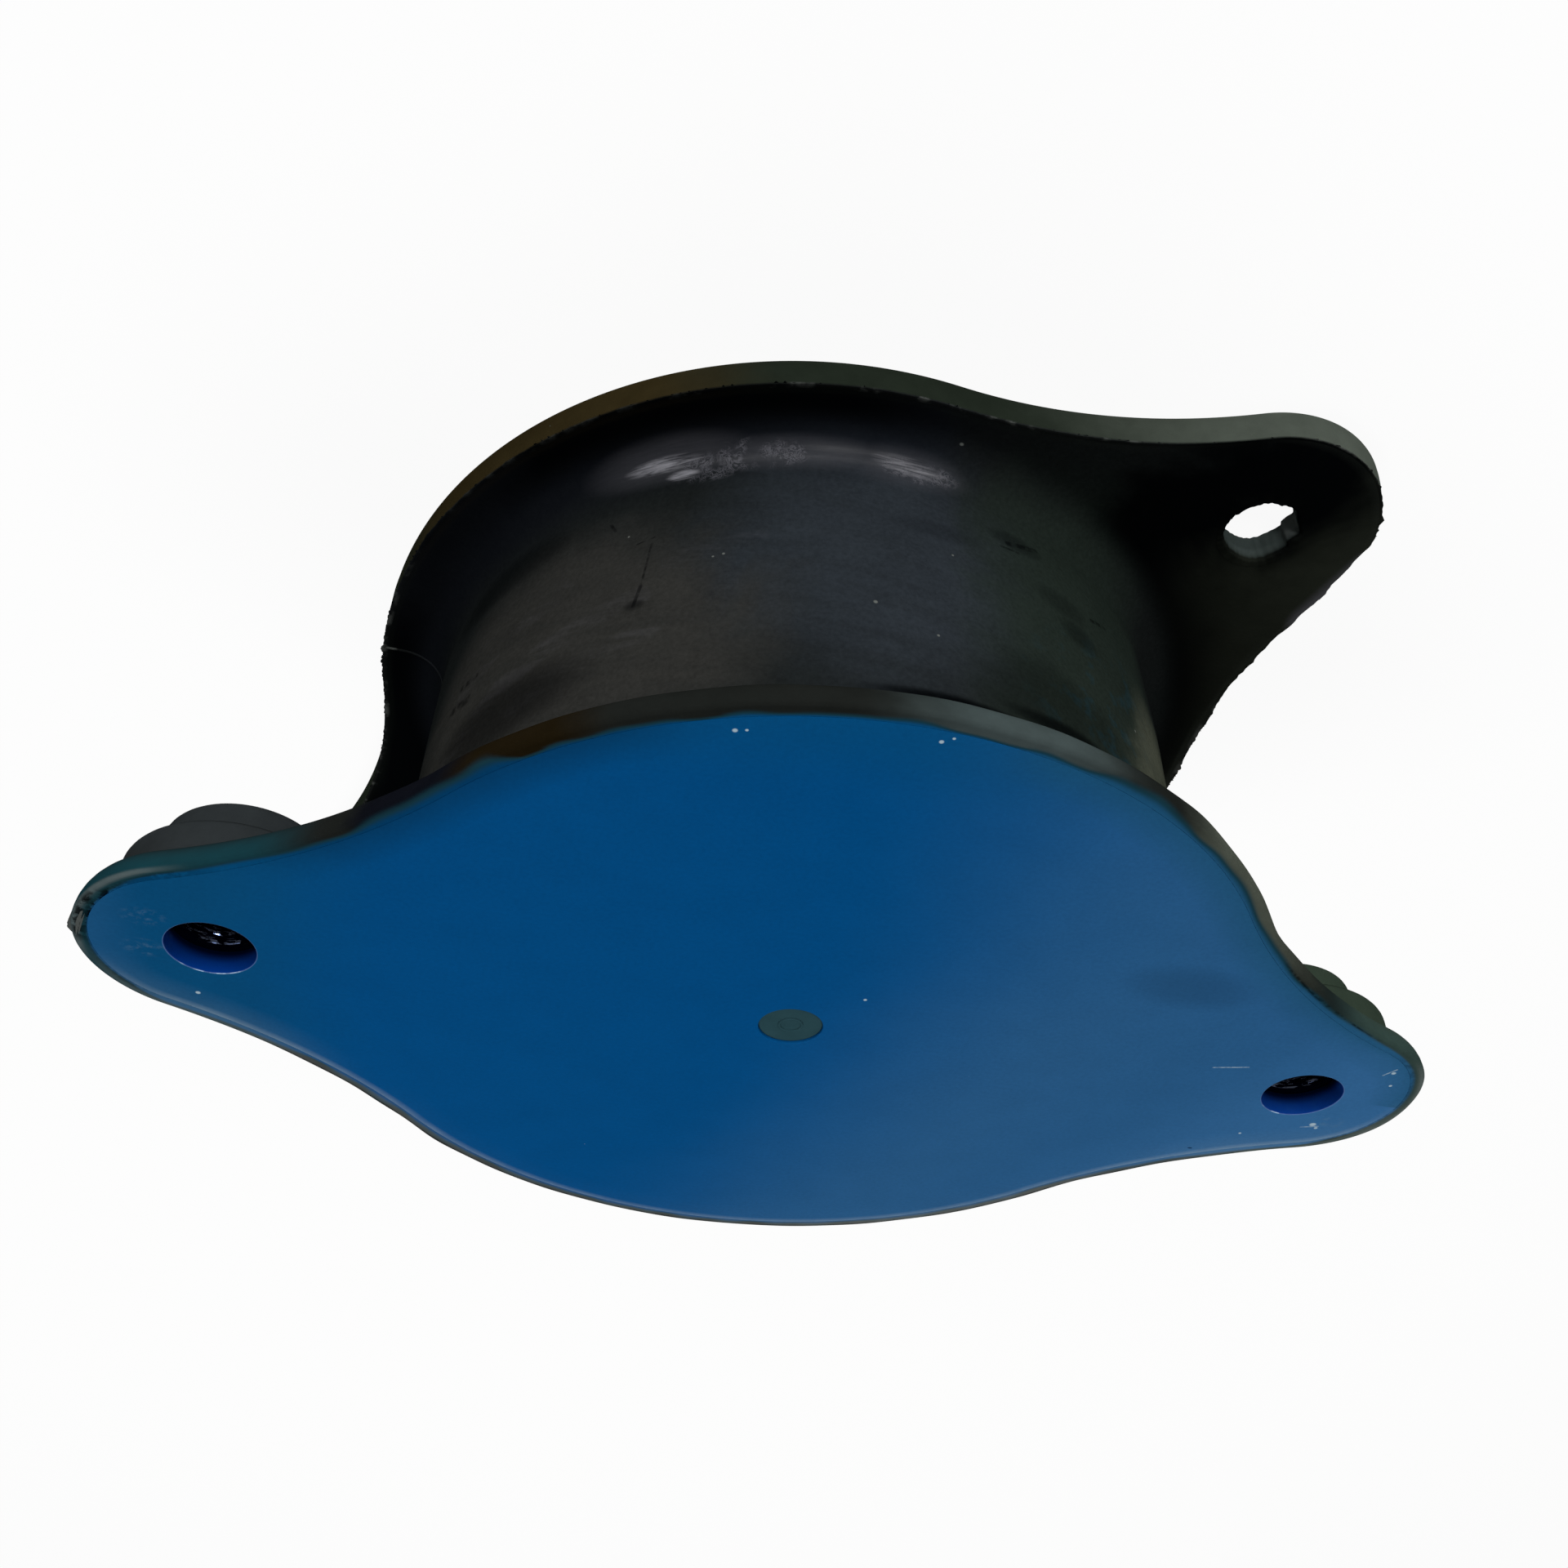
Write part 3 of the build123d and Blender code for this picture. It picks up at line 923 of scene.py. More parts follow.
        # Painted shade: a dark line where the bosses' wide step meets the narrow one
        boss_step_shade = self.between(r.z, self.boss_step_shade_zones)
        tint = r.shade(tint, cloud.level(*self.boss_level) * (1 - self.boss_step_shade_strength * boss_step_shade))
        colour = r.mix(colour, tint, bosses * self.boss_share)
        colour = r.mix(colour, self.edges(r, turn, cloud), r.attribute("rim"))
        speck = r.specks(*self.rim_specks) * r.patches(*self.rim_speck_patches)
        colour = r.mix(colour, self.worn, speck * r.attribute("rim") * self.rim_speck_share)
        patchy = r.patches(*self.torn_patches).level(*self.torn_patch_level)
        first, second = self.torn_zones
        ragged = turn.ease(*first).most(turn.ease(*second)).level(*self.torn_level)
        return r.mix(colour, self.worn, r.attribute("torn") * patchy * ragged)

    def oversprayed(self, r: Recipe, colour: Signal, cloud: Signal) -> Signal:
        """The colour with the paint, overspray, pale dust, cracks and a painted shade line that the mesh's
        masks place.

        Args:
            r: The material's recipe.
            colour: The bare colour.
            cloud: Noise that mottles it.

        Returns:
            The colour.
        """
        painted = r.attribute("paint")
        fringe = r.mix(self.fringe, self.fringe_grey, r.x.ease(*self.fringe_zone))
        spray = r.attribute("spray") * cloud.level(*self.spray_level)
        colour = r.mix(colour, self.spray, spray.clamp())
        colour = r.mix(colour, fringe, painted.ease(*self.fringe_cover))
        colour = r.mix(colour, BluePaint().colour(r, 1.0), painted.ease(*self.paint_cover))
        colour = r.mix(colour, self.pale, r.attribute("pale") * cloud.level(*self.pale_level))
        # Dark cracks and pits, and painted shade along the border's outer edge on the +Y side
        return r.mix(colour, self.deep, r.attribute("crack") * r.patches(*self.crack_and_shade_patches))

    def material(self) -> Material:
        """Builds the rubber.

        Returns:
            The material.
        """
        r = Recipe("black_moulded_rubber")
        turn = r.y.direction(r.x)
        along = turn * math.radians(self.wall)
        rise = r.z - (r.x.length(r.y) - self.foot).most(0.0) * (1 - r.z.ease(*RIM_SPLIT))
        cloud = r.noise(*self.small_cloud)
        smooth, bright = self.glow(r, along, rise)
        colour = self.handled(r, turn, along, rise, (smooth, bright))
        colour = self.trimmed(r, colour, turn, cloud)
        colour = self.oversprayed(r, colour, cloud)
        rough = self.rough + cloud * self.cloud_rough + r.attribute("rim") * self.rim_rough
        height = r.noise(*self.pores) * self.pore_height + r.noise(*self.dents) * self.dent_height
        return r.finish(colour, rough, height, self.lift, Specular_IOR_Level=self.shine,
                        Coat_Weight=(smooth + bright) * self.gloss, Coat_Roughness=self.gloss_rough)


@dataclass(frozen=True)
class PaintedThread:
    """Cut steel of the bushes under dark, glossy paint made near black as painted shade, worn bright on some
    crests.
    """

    steel: Colour = chip(170, 184, 214)
    # paint: dark overspray, made near black as painted shade deep in the bolt holes
    paint: Colour = chip(2, 3, 14)
    patch: Grain = (2.2, 3, 0.6)
    thin: Grain = (2.4, 2, 0.5, 0.3)
    flat: Point = (1.0, 1.0, 5.0)
    side_zone: Spot = (20, -20)
    side_share: float = 0.03
    bare_share: Spot = (0.56, 0.62)
    bare_depth: Spot = (84.0, 83.2)
    bare_rear: Spot = (3, 5)
    paint_level: Spot = (0.6, 0.8)
    rough: float = 0.16
    rough_share: float = 0.1
    cuts: float = 0.6
    lift: float = 0.01

    def material(self) -> Material:
        """Builds the steel.

        Returns:
            The material.
        """
        r = Recipe("painted_thread_steel")
        patch = r.noise(*self.patch)
        thin = r.noise(*self.thin, self.flat) + r.x.ease(*self.side_zone) * self.side_share
        bare = thin.ease(*self.bare_share) * r.z.ease(*self.bare_depth) * r.y.ease(*self.bare_rear)
        colour = r.mix(r.shade(self.paint, patch.level(*self.paint_level)), self.steel, bare)
        rough = self.rough + patch * self.rough_share
        return r.finish(colour, rough, r.noise(self.cuts), self.lift, Metallic=bare, Specular_IOR_Level=0.0)


# Forms


@dataclass(frozen=True)
class FlangeOutline:
    """A flange's outline: a disc and two ears, joined by hollow flanks. Sizes in millimetres."""

    disc: float = 95.0
    ear: float = 25.0
    flank: float = 124.0
    offset: float = 112.5
    turn: float = 0.0

    def reach(self, angles: Array, inset: Sized = 0.0) -> Array:
        """How far the outline lies from the middle.

        Args:
            angles: Directions in radians.
            inset: How far the outline is drawn in.

        Returns:
            The distances.
        """
        folded = np.abs(np.mod(angles - self.turn + math.pi / 2, math.pi) - math.pi / 2)
        disc, ear, flank = self.disc - inset, self.ear - inset, self.flank + inset
        to_disc, to_ear = disc + flank, ear + flank
        cx = (self.offset**2 + to_disc**2 - to_ear**2) / (2 * self.offset)
        cy = np.sqrt(to_disc**2 - cx**2)
        ear_x = self.offset + (cx - self.offset) * ear / to_ear
        ear_y = cy * ear / to_ear
        on_ear = np.arctan2(ear_y, ear_x)
        on_disc = np.arctan2(cy, cx)
        cos, sin = np.cos(folded), np.sin(folded)
        by_ear = self.offset * cos + np.sqrt(np.maximum(ear**2 - (self.offset * sin) ** 2, 0))
        by_flank = (cx * cos + cy * sin) - np.sqrt(np.maximum(flank**2 - (cx * sin - cy * cos) ** 2, 0))
        return np.where(folded <= on_ear, by_ear, np.where(folded <= on_disc, by_flank, disc + 0 * folded))

    def ring(self, angles: Array, inset: Sized, z: Sized) -> Array:
        """The outline as points at a height, in millimetres."""
        return round_ring(angles, self.reach(angles, inset), z)


def round_ring(angles: Array, radius: Sized, z: Sized) -> Array:
    """Points round the Z axis.

    Args:
        angles: Directions in radians.
        radius: The distance from the axis, one number or one for each point.
        z: The height, one number or one for each point.

    Returns:
        An array of points.
    """
    return np.stack([radius * np.cos(angles), radius * np.sin(angles), z + 0 * angles], axis=1)


def directions(columns: int = 860, crowding: float = 1.6, spread: float = 12.0) -> Array:
    """Directions round the axis, closer together over the four ears.

    Args:
        columns: How many directions.
        crowding: How much closer they are over an ear.
        spread: How wide that place is, in degrees.

    Returns:
        The directions in radians.
    """
    fine = np.linspace(0, TAU, 20001)
    weight = np.ones_like(fine)
    for ear in (0, SLANT, math.pi, math.pi + SLANT, TAU):
        weight += crowding * np.exp(-(((fine - ear) / math.radians(spread)) ** 2))
    total = np.concatenate([[0], np.cumsum((weight[1:] + weight[:-1]) / 2)])
    return np.interp(np.arange(columns) / columns * total[-1], total, fine)


def polar(points: Array) -> tuple[Array, Array]:
    """The points' directions in radians and their distances from the Z axis."""
    return np.arctan2(points[:, 1], points[:, 0]), np.hypot(points[:, 0], points[:, 1])


def arc(start: float, stop: float, steps: int) -> list[float]:
    """Angles in radians from start to stop in degrees, both ends in."""
    return [math.radians(start + (stop - start) * i / steps) for i in range(steps + 1)]


def loft(name: str, rings: Sequence[Array], hollow: bool = False) -> Mesh:
    """A closed mesh through rings of equally many points.

    Args:
        name: The mesh's name.
        rings: The rings in order, in millimetres.
        hollow: Joins the last ring to the first, where otherwise both ends are closed by a fan.

    Returns:
        The mesh, in metres, with its faces outward.
    """
    count, rows = len(rings[0]), len(rings)
    points = np.concatenate(rings)
    faces = []
    for row in range(rows if hollow else rows - 1):
        low, high = row * count, (row + 1) % rows * count
        faces += [(low + i, low + (i + 1) % count, high + (i + 1) % count, high + i) for i in range(count)]
    if not hollow:
        first, last, tail = len(points), len(points) + 1, (rows - 1) * count
        points = np.concatenate([points, [rings[0].mean(0)], [rings[-1].mean(0)]])
        faces += [(first, (i + 1) % count, i) for i in range(count)]
        faces += [(last, tail + i, tail + (i + 1) % count) for i in range(count)]
    mesh = bpy.data.meshes.new(name)
    mesh.from_pydata((points * MM).tolist(), [], faces)
    tidy(mesh)
    return mesh


def tidy(mesh: Mesh) -> None:
    """Merges doubles and turns all faces outward.

    Args:
        mesh: The mesh to change.
    """
    work = bmesh.new()
    work.from_mesh(mesh)
    bmesh.ops.remove_doubles(work, verts=work.verts, dist=1e-7)
    bmesh.ops.recalc_face_normals(work, faces=work.faces)
    work.to_mesh(mesh)
    work.free()


def turned_solid(name: str, profile: Sequence[Spot], centre: Spot, columns: int = 96) -> Part:
    """A closed solid of revolution, upright at a place.

    Args:
        name: The object's name.
        profile: Radius and height of each ring, in millimetres.
        centre: Where its axis stands.
        columns: How many points a ring has.

    Returns:
        The object.
    """
    angles = np.linspace(0, TAU, columns, endpoint=False)
    rings = [round_ring(angles, radius, z) + np.array([*centre, 0]) for radius, z in profile]
    return place(name, loft(name, rings))


def place(name: str, mesh: Mesh) -> Part:
    """Puts a mesh into the scene as an object at the origin.

    Args:
        name: The object's name.
        mesh: Its mesh.

    Returns:
        The object.
    """
    made = bpy.data.objects.new(name, mesh)
    bpy.context.scene.collection.objects.link(made)
    return made


def joined(name: str, parts: Sequence[Part]) -> Part:
    """Joins the parts' meshes into one object and removes the parts.

    Args:
        name: The new object's name.
        parts: The parts.

    Returns:
        The new object.
    """
    work = bmesh.new()
    for part in parts:
        work.from_mesh(part.data)
    mesh = bpy.data.meshes.new(name)
    work.to_mesh(mesh)
    work.free()
    for part in parts:
        bpy.data.objects.remove(part)
    return place(name, mesh)


def baked(part: Part) -> Part:
    """Applies the part's modifiers to its mesh.

    Args:
        part: The part.

    Returns:
        The part with a plain mesh.
    """
    graph = bpy.context.evaluated_depsgraph_get()
    mesh = bpy.data.meshes.new_from_object(part.evaluated_get(graph))
    part.modifiers.clear()
    part.data = mesh
    mesh.name = part.name
    return part


def combined(part: Part, other: Part, operation: str) -> Part:
    """Adds the other solid to the part or cuts it out, and removes the other.

    Args:
        part: The solid to change.
        other: The solid to add or to cut out.
        operation: UNION or DIFFERENCE.

    Returns:
        The changed part.
    """
    change = part.modifiers.new(operation.lower(), "BOOLEAN")
    change.operation = operation
    change.solver = "EXACT"
    change.object = other
    baked(part)
    bpy.data.objects.remove(other)
    return part


def dressed(part: Part, material: Material, sharp: float) -> Part:
    """Gives a part smooth shading with sharp edges kept and its material, and lets it ride.

    Args:
        part: The part.
        material: Its material.
        sharp: The angle from which an edge stays sharp, in degrees.

    Returns:
        The part.
    """
    mesh = part.data
    mesh.polygons.foreach_set("use_smooth", [True] * len(mesh.polygons))
    mesh.set_sharp_from_angle(angle=math.radians(sharp))
    weigh = part.modifiers.new("weigh", "WEIGHTED_NORMAL")
    weigh.keep_sharp = True
    baked(part)
    part.data.materials.clear()
    part.data.materials.append(material)
    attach(part, "root")
    return part


def masked(part: Part, rules: dict[str, Union[float, Callable[[Array], Array]]]) -> None:
    """Gives a part's mesh its masks.

    Args:
        part: The part.
        rules: By the mask's name, one value for all of the mesh, or what gives the mask from an array of
            points in millimetres.
    """
    mesh = part.data
    flat = np.empty(len(mesh.vertices) * 3)
    mesh.vertices.foreach_get("co", flat)
    points = flat.reshape(-1, 3) / MM
    for name, rule in rules.items():
        values = rule(points) if callable(rule) else np.full(len(points), rule)
        layer = mesh.attributes.new(name, "FLOAT", "POINT")
        layer.data.foreach_set("value", np.clip(values, 0, 1).astype(np.float32))


def step(values: Array, low: float, high: float) -> Array:
    """A smooth step from 0 at low to 1 at high; low may be the larger."""
    t = np.clip((values - low) / (high - low), 0, 1)
    return t * t * (3 - 2 * t)


def around(degrees: Array, centre: float, half: float, soft: float) -> Array:
    """1 within half of a direction, fading to 0 over the soft angle, all in degrees."""
    away = np.abs(np.mod(degrees - centre + 180, 360) - 180)
    return step(away, half + soft, half)


def arcs(degrees: Array, places: Iterable[Oval]) -> Array:
    """The sum of several arcs: each an amount, a centre, a half width and a fade."""
    return sum(amount * around(degrees, centre, half, soft) for amount, centre, half, soft in places)


def strongest(degrees: Array, places: Iterable[Oval]) -> Array:
    """The strongest of several arcs in each direction."""
    return reduce(np.maximum, [arcs(degrees, (place,)) for place in places])


def waves(angles: Array, size: float, seed: int, low: int, high: int, count: int = 24) -> Array:
    """A smooth closed random line round the axis.

    Args:
        angles: Directions in radians.
        size: Its spread.
        seed: Fixes the line.
        low: The fewest waves round the axis.
        high: The most waves round the axis.
        count: How many waves are added.

    Returns:
        One value for each direction.
    """
    draw = np.random.default_rng(seed)
    turns = draw.integers(low, high, count)
    phases = draw.uniform(0, TAU, count)
    return size * (sum(np.sin(n * angles + p) for n, p in zip(turns, phases)) * math.sqrt(2 / count))


class GeometryRecipe(NodeRecipe):
    """A Geometry Nodes tree that is run on a part."""

    def __init__(self, name: str) -> None:
        """Makes an empty tree with a geometry input and output.

        Args:
            name: The tree's name.
        """
        super().__init__(bpy.data.node_groups.new(name, "GeometryNodeTree"))
        for way in ("INPUT", "OUTPUT"):
            self.tree.interface.new_socket("Geometry", in_out=way, socket_type="NodeSocketGeometry")
        self.values: dict[str, object] = {}
        self.entry = self.tree.nodes.new("NodeGroupInput")
        self.start = Signal(self, self.entry.outputs["Geometry"])

    def size(self, name: str, value: object, kind: str = "NodeSocketFloat") -> Signal:
        """Adds a named input.

        Args:
            name: The input's name.
            value: Its value on the modifier.
            kind: Its socket's type.

        Returns:
            The input inside the tree.
        """
        self.tree.interface.new_socket(name, in_out="INPUT", socket_type=kind)
        self.values[name] = value
        return Signal(self, self.entry.outputs[name])

    def run(self, part: Part, geometry: Signal, material: Material) -> Part:
        """Ends the tree, sets its inputs on a modifier of the part and applies it.

        Args:
            part: The part that carries the modifier.
            geometry: The tree's result.
            material: The result's material.

        Returns:
            The part with a plain mesh.
        """
        stuff = self.size("Material", material, "NodeSocketMaterial")
        real = self.node("GeometryNodeRealizeInstances", {}, {0: geometry})
        last = self.node("GeometryNodeSetMaterial", {}, {"Geometry": real, "Material": stuff})
        self.node("NodeGroupOutput", {}, {0: last})
        modifier = part.modifiers.new("shape", "NODES")
        modifier.node_group = self.tree
        for item in self.tree.interface.items_tree:
            if item.in_out == "INPUT" and item.name in self.values:
                modifier[item.identifier] = self.values[item.name]
        return baked(part)


def wire(name: str, points: Array, closed: bool) -> Part:
    """A path of edges for Geometry Nodes to follow.

    Args:
        name: The object's name.
        points: The path's points in millimetres.
        closed: Joins the last point to the first.

    Returns:
        The object.
    """
    count = len(points)
    edges = [(i, (i + 1) % count) for i in range(count if closed else count - 1)]
    mesh = bpy.data.meshes.new(name)
    mesh.from_pydata((points * MM).tolist(), edges, [])
    return place(name, mesh)


# Sub-assemblies


@dataclass
class RubberMoulding:
    """The one-piece moulding: both flanges' skins and rims, the block with its flares, and the bosses.

    An arc is an amount and where it holds: a centre, a half width and a fade in degrees. A lip lists its
    rings in millimetres.
    """

    front: FlangeOutline = field(default_factory=FlangeOutline)
    rear: FlangeOutline = field(default_factory=lambda: FlangeOutline(turn=SLANT))
    front_edge: float = 0.8
    front_back_edge: float = 6.2
    rear_edge: float = 0.6
    block_rear: float = 80.5
    block_front: float = 81.5
    rear_flare: Spot = (10.0, 8.0)
    front_flare: Spot = (7.0, 7.5)
    swell: float = 0.3
    brim: float = 0.3
    front_wave: Wave = (0.1, 3, 9, 40)
    wall_wave: Wave = (0.1, 20, 3, 9)
    fine_wave: Wave = (0.06, 21, 8, 26)
    fine_shift: float = 0.02
    rear_wave: Wave = (0.08, 5, 9, 40)
    torn_wave: Wave = (0.14, 7, 60, 290, 40)
    torn_swell: Wave = (0.6, 8, 4, 20)
    torn_least: float = 0.4
    boss_inset: float = 1.8
    wide_boss: float = 21.5
    wide_end: float = 74.6
    narrow_boss: float = 16.0
    narrow_end: float = 66.0
    boss_edge: float = 2.5
    boss_foot: float = 0.7
    side_steps: int = 26
    pocket_lip: tuple[Spot, ...] = ((0.0, 5.0), (0.0, 0.1), (0.03, 0.03), (0.1, 0.0), (0.9, 0.0), (1.5, 0.0))
    front_fold: Ovals = ((0.5, -124, 24, 8),)
    fold_steps: tuple[Spot, ...] = ((0.1, 0.0), (0.4, 1.0), (0.6, 1.0), (0.85, 0.0))
    skin_steps: tuple[float, ...] = (0.2, 0.4, 0.6, 0.8, 0.95)
    torn_lip: tuple[Line, ...] = (
        (0.7, 1.0, 0.0, 0.02, 0.0), (0.4, 1.0, 0.3, 0.12, 0.35), (0.1, 1.0, 0.7, 0.1, 0.3),
        (0.0, 1.0, 0.55, -0.15, 0.0), (0.05, 1.0, 0.0, -0.5, 0.0),
    )
    rear_rim: tuple[Spot, ...] = ((0.55, 1.8), (0.2, 3.6), (0.0, 5.2))
    bolt_lip: tuple[Spot, ...] = ((0.0, -0.4), (0.12, -0.1), (0.4, 0.02), (0.4, 2.0))
    shrinkage: Ovals = ((0.6, -128, 8, 14), (0.8, -150, 7.5, 9), (1.3, -143.6, 0.7, 2.2))
    rougher: Ovals = ((0.5, -4, 14, 8), (1.0, -150, 16, 10))
    tips: tuple[Point, ...] = (
        (-138.8, 0.5, 1.0), (-154.6, 0.8, 0.7), (-175.6, 0.6, 0.8), (-1.0, 0.5, 0.7), (-23.5, 3.0, 0.4),
        (-149.5, 1.2, 0.5), (-164.0, 1.0, 0.5),
    )
    overlap: Ovals = (
        (0.9, -17, 5, 6), (2.6, -38, 5, 8), (2.6, -114, 2, 5), (1.0, -146, 22, 12), (0.8, 90, 72, 10),
    )
    shorter: Ovals = ((0.5, -2, 7, 6),)
    run: float = 1.5
    run_start: float = -0.4
    run_wave: Wave = (0.4, 41, 6, 60)
    run_drop: float = 0.8
    top: Spot = (HEIGHT - 0.6, HEIGHT - 0.2)
    shoulder: Spot = (HEIGHT - 6, HEIGHT - 2)
    spray_arcs: Ovals = ((1.0, -2, 14, 8), (0.3, 180, 14, 10))
    spray_height: Spot = (HEIGHT - 8.0, HEIGHT - 1.0)
    spray_depth: Spot = (6.5, 1.5)
    spray_share: float = 0.62
    dust_height: Spot = (HEIGHT - 0.7, HEIGHT - 0.2)
    dust_border: Ovals = ((1.0, 92, 82, 10),)
    dust_width: Zones = ((0.4, 1.4), (3.6, 1.8))
    dust_least: float = 0.6
    dust_more: Ovals = ((0.4, 126, 16, 16),)
    dust_share: float = 0.62
    dust_tips: Ovals = ((1.0, -4.0, 5, 4), (1.0, 180.0, 5, 4))
    dust_tip_width: Spot = (2.0, 0.8)
    dust_tip_share: float = 0.5
    crack_arcs: Ovals = ((1.0, -4.0, 2.2, 2), (0.3, -2, 9, 3), (0.3, 180.0, 7, 3))
    crack_depth: Spot = (2.1, 2.6)
    pits: tuple[tuple[Oval, float, Spot], ...] = (
        ((0.8, -160, 5, 5), 1.6, (0.5, 0.1)), ((0.9, -2.5, 2.5, 2), 1.3, (1.4, 0.4)),
    )
    # Painted shade: a dark line along the border's outer edge on the +Y side
    painted_shade_border: Ovals = ((0.5, 92, 80, 8),)
    painted_shade_depth: Spot = (0.4, 0.1)
    front_rim_depth: Spot = (7.5, 4.0)
    front_rim_height: Spot = (HEIGHT - FLANGE - 0.3, HEIGHT - FLANGE + 0.5)
    front_rim_share: float = 0.9
    rear_rim_depth: Spot = (2.6, 1.6)
    rear_rim_height: Spot = (FLANGE + 0.1, FLANGE - 0.4)
    torn_depth: Spot = (1.0, 0.45)
    torn_heights: Zones = ((FLANGE - 0.4, FLANGE), (12.0, 9.0))
    sharp: float = 42.0

    def wall(self, z: float) -> float:
        """The block's radius at a height between its flares, with its slight draft."""
        low, high = self.wall_ends()
        return self.block_rear + (self.block_front - self.block_rear) * (z - low) / (high - low)

    def wall_ends(self) -> Spot:
        """The heights at which the block's plain wall starts and ends."""
        return FLANGE + self.rear_flare[1], HEIGHT - FLANGE - self.front_flare[1]

    def front_rings(self, at: Array) -> list[Array]:
        """Rings from the front pocket's floor over the border and the rim to the end of the flare.

        Args:
            at: The rings' directions in radians.

        Returns:
            The rings in order.
        """
        low = HEIGHT - FLANGE
        out = self.front.ring
        rings = [out(at, BORDER - across, HEIGHT - down) for across, down in self.pocket_lip]
        e, b = self.front_edge, self.front_back_edge
        wave = waves(at, *self.front_wave)
        rings.append(out(at, e + self.brim + wave, HEIGHT))
        for a in arc(0, 90, 5):
            rings.append(out(at, e - e * math.sin(a) + wave, HEIGHT - e + e * math.cos(a)))
        for a in arc(0, 90, 10):
            rings.append(out(at, b - b * math.cos(a) + wave * math.cos(a), low + b - b * math.sin(a)))
        reach, rise = self.front_flare
        foot = self.wall(low - rise) + reach
        outer = self.front.reach(at, b)
        fold = arcs(np.degrees(at), self.front_fold)
        rings += [round_ring(at, outer + (foot - outer) * share, low + sunk * fold)
                  for share, sunk in self.fold_steps]
        rings += [round_ring(at, foot - reach * math.sin(a), low - rise + rise * math.cos(a))
                  for a in arc(0, 90, 10)]
        return rings

    def side_rings(self, at: Array) -> list[Array]:
        """Rings down the block's side, slightly bulged and uneven.

        Args:
            at: The rings' directions in radians.

        Returns:
            The rings in order.
        """
        low, high = self.wall_ends()
        rings = []
        for i in range(1, self.side_steps):
            z = high + (low - high) * i / self.side_steps
            bulge = math.sin(math.pi * i / self.side_steps)
            uneven = waves(at, *self.wall_wave) * bulge
            uneven = uneven + waves(at + i * self.fine_shift, *self.fine_wave)
            rings.append(round_ring(at, self.wall(z) + self.swell * bulge + uneven, z))
        return rings

    def shrunk(self, at: Array) -> Array:
        """How much the rear rim's inner edge falls short of the outline on one ear, in millimetres."""
        return arcs(np.degrees(at), self.shrinkage)

    def torn_edge(self, at: Array) -> Array:
        """How far the flash stands out along the rear rim's inner edge.

        Args:
            at: Directions in radians.

        Returns:
            The flash's reach in millimetres.
        """
        degrees = np.degrees(at)
        torn = np.abs(waves(at, *self.torn_wave)) * (self.torn_least + np.abs(waves(at, *self.torn_swell)))
        torn *= 1 + arcs(degrees, self.rougher)
        for centre, width, height in self.tips:
            away = np.mod(degrees - centre + 180, 360) - 180
            torn += height * np.clip(1 - np.abs(away) / width, 0, 1)
        return torn

    def rear_rings(self, at: Array) -> list[Array]:
        """Rings from the rear flare over the torn inner edge and the rim to the rear pocket's floor.

        Args:
            at: The rings' directions in radians.

        Returns:
            The rings in order.
        """
        low, e = FLANGE, self.rear_edge
        out = self.rear.ring
        reach, rise = self.rear_flare
        foot = self.wall(low + rise) + reach
        outer = self.rear.reach(at, 1.0)
        torn, slim = self.torn_edge(at), self.shrunk(at)
        wave = waves(at, *self.rear_wave)
        rings = [round_ring(at, foot - reach * math.cos(a), low + rise - rise * math.sin(a))
                 for a in arc(0, 90, 14)]
        rings += [round_ring(at, foot + (outer - foot) * share, low) for share in self.skin_steps]
        rings += [out(at, inset + share * slim - over * torn, low + up + lift * torn)
                  for inset, share, over, up, lift in self.torn_lip]
        rings += [out(at, wave + share * slim, low - down) for share, down in self.rear_rim]
        rings += [out(at, e - e * math.cos(a), e - e * math.sin(a)) for a in arc(0, 90, 4)]
        return rings + [out(at, BORDER - 0.3, 0), out(at, BORDER, 0.25), out(at, BORDER, PLATE)]

    def boss(self, side: int) -> Part:
        """One stepped boss with eased edges, reaching into the flange.

        Args:
            side: 1 for the +X ear and -1 for the other.

        Returns:
            The boss.
        """
        e, k = self.boss_edge, self.boss_foot
        wide, narrow, step_z, end = self.wide_boss, self.narrow_boss, self.wide_end, self.narrow_end
        quarter = arc(0, 90, 7)
        profile = [(wide, FRONT_FACE - 1)]
        profile += [(wide - e + e * math.cos(a), step_z + e - e * math.sin(a)) for a in quarter]
        profile += [(narrow + k - k * math.sin(a), step_z - k + k * math.cos(a)) for a in arc(0, 90, 4)]
        profile += [(narrow - e + e * math.cos(a), end + e - e * math.sin(a)) for a in quarter]
        middle = (side * (self.front.offset - self.boss_inset), 0.0)
        return turned_solid(f"boss_{side}", profile, middle)

    def cutters(self) -> list[Part]:
        """The room of the bushes and of all four bolts.

        Returns:
            The solids to cut out.
        """
        made = []
        end, hole, wide = self.narrow_end, BOLT_HOLE, BOLT_HOLE + 0.5
        for side in (1, -1):
            profile = [(wide, end - 1), (wide, end), (hole, end + 0.5), (hole, BUSH_END), (BUSH, BUSH_END),
                       (BUSH, FRONT_FACE + 1)]
            made.append(turned_solid(f"bush_room_{side}", profile, (side * self.front.offset, 0.0)))
            middle = side * self.rear.offset * DIAGONAL
            lip = [(hole, -1)] + [(hole + wider, FLANGE + up) for wider, up in self.bolt_lip]
            made.append(turned_solid(f"bolt_room_{side}", lip, (middle, middle)))
        return made

    def measured(self, points: Array) -> tuple[Array, Array, Array]:
        """Where points lie on the front flange.

        Args:
            points: The points in millimetres.

        Returns:
            Their angles in degrees, how far inside the outline they are, and their heights.
        """
        at, radius = polar(points)
        return np.degrees(at), self.front.reach(at) - radius, points[:, 2]

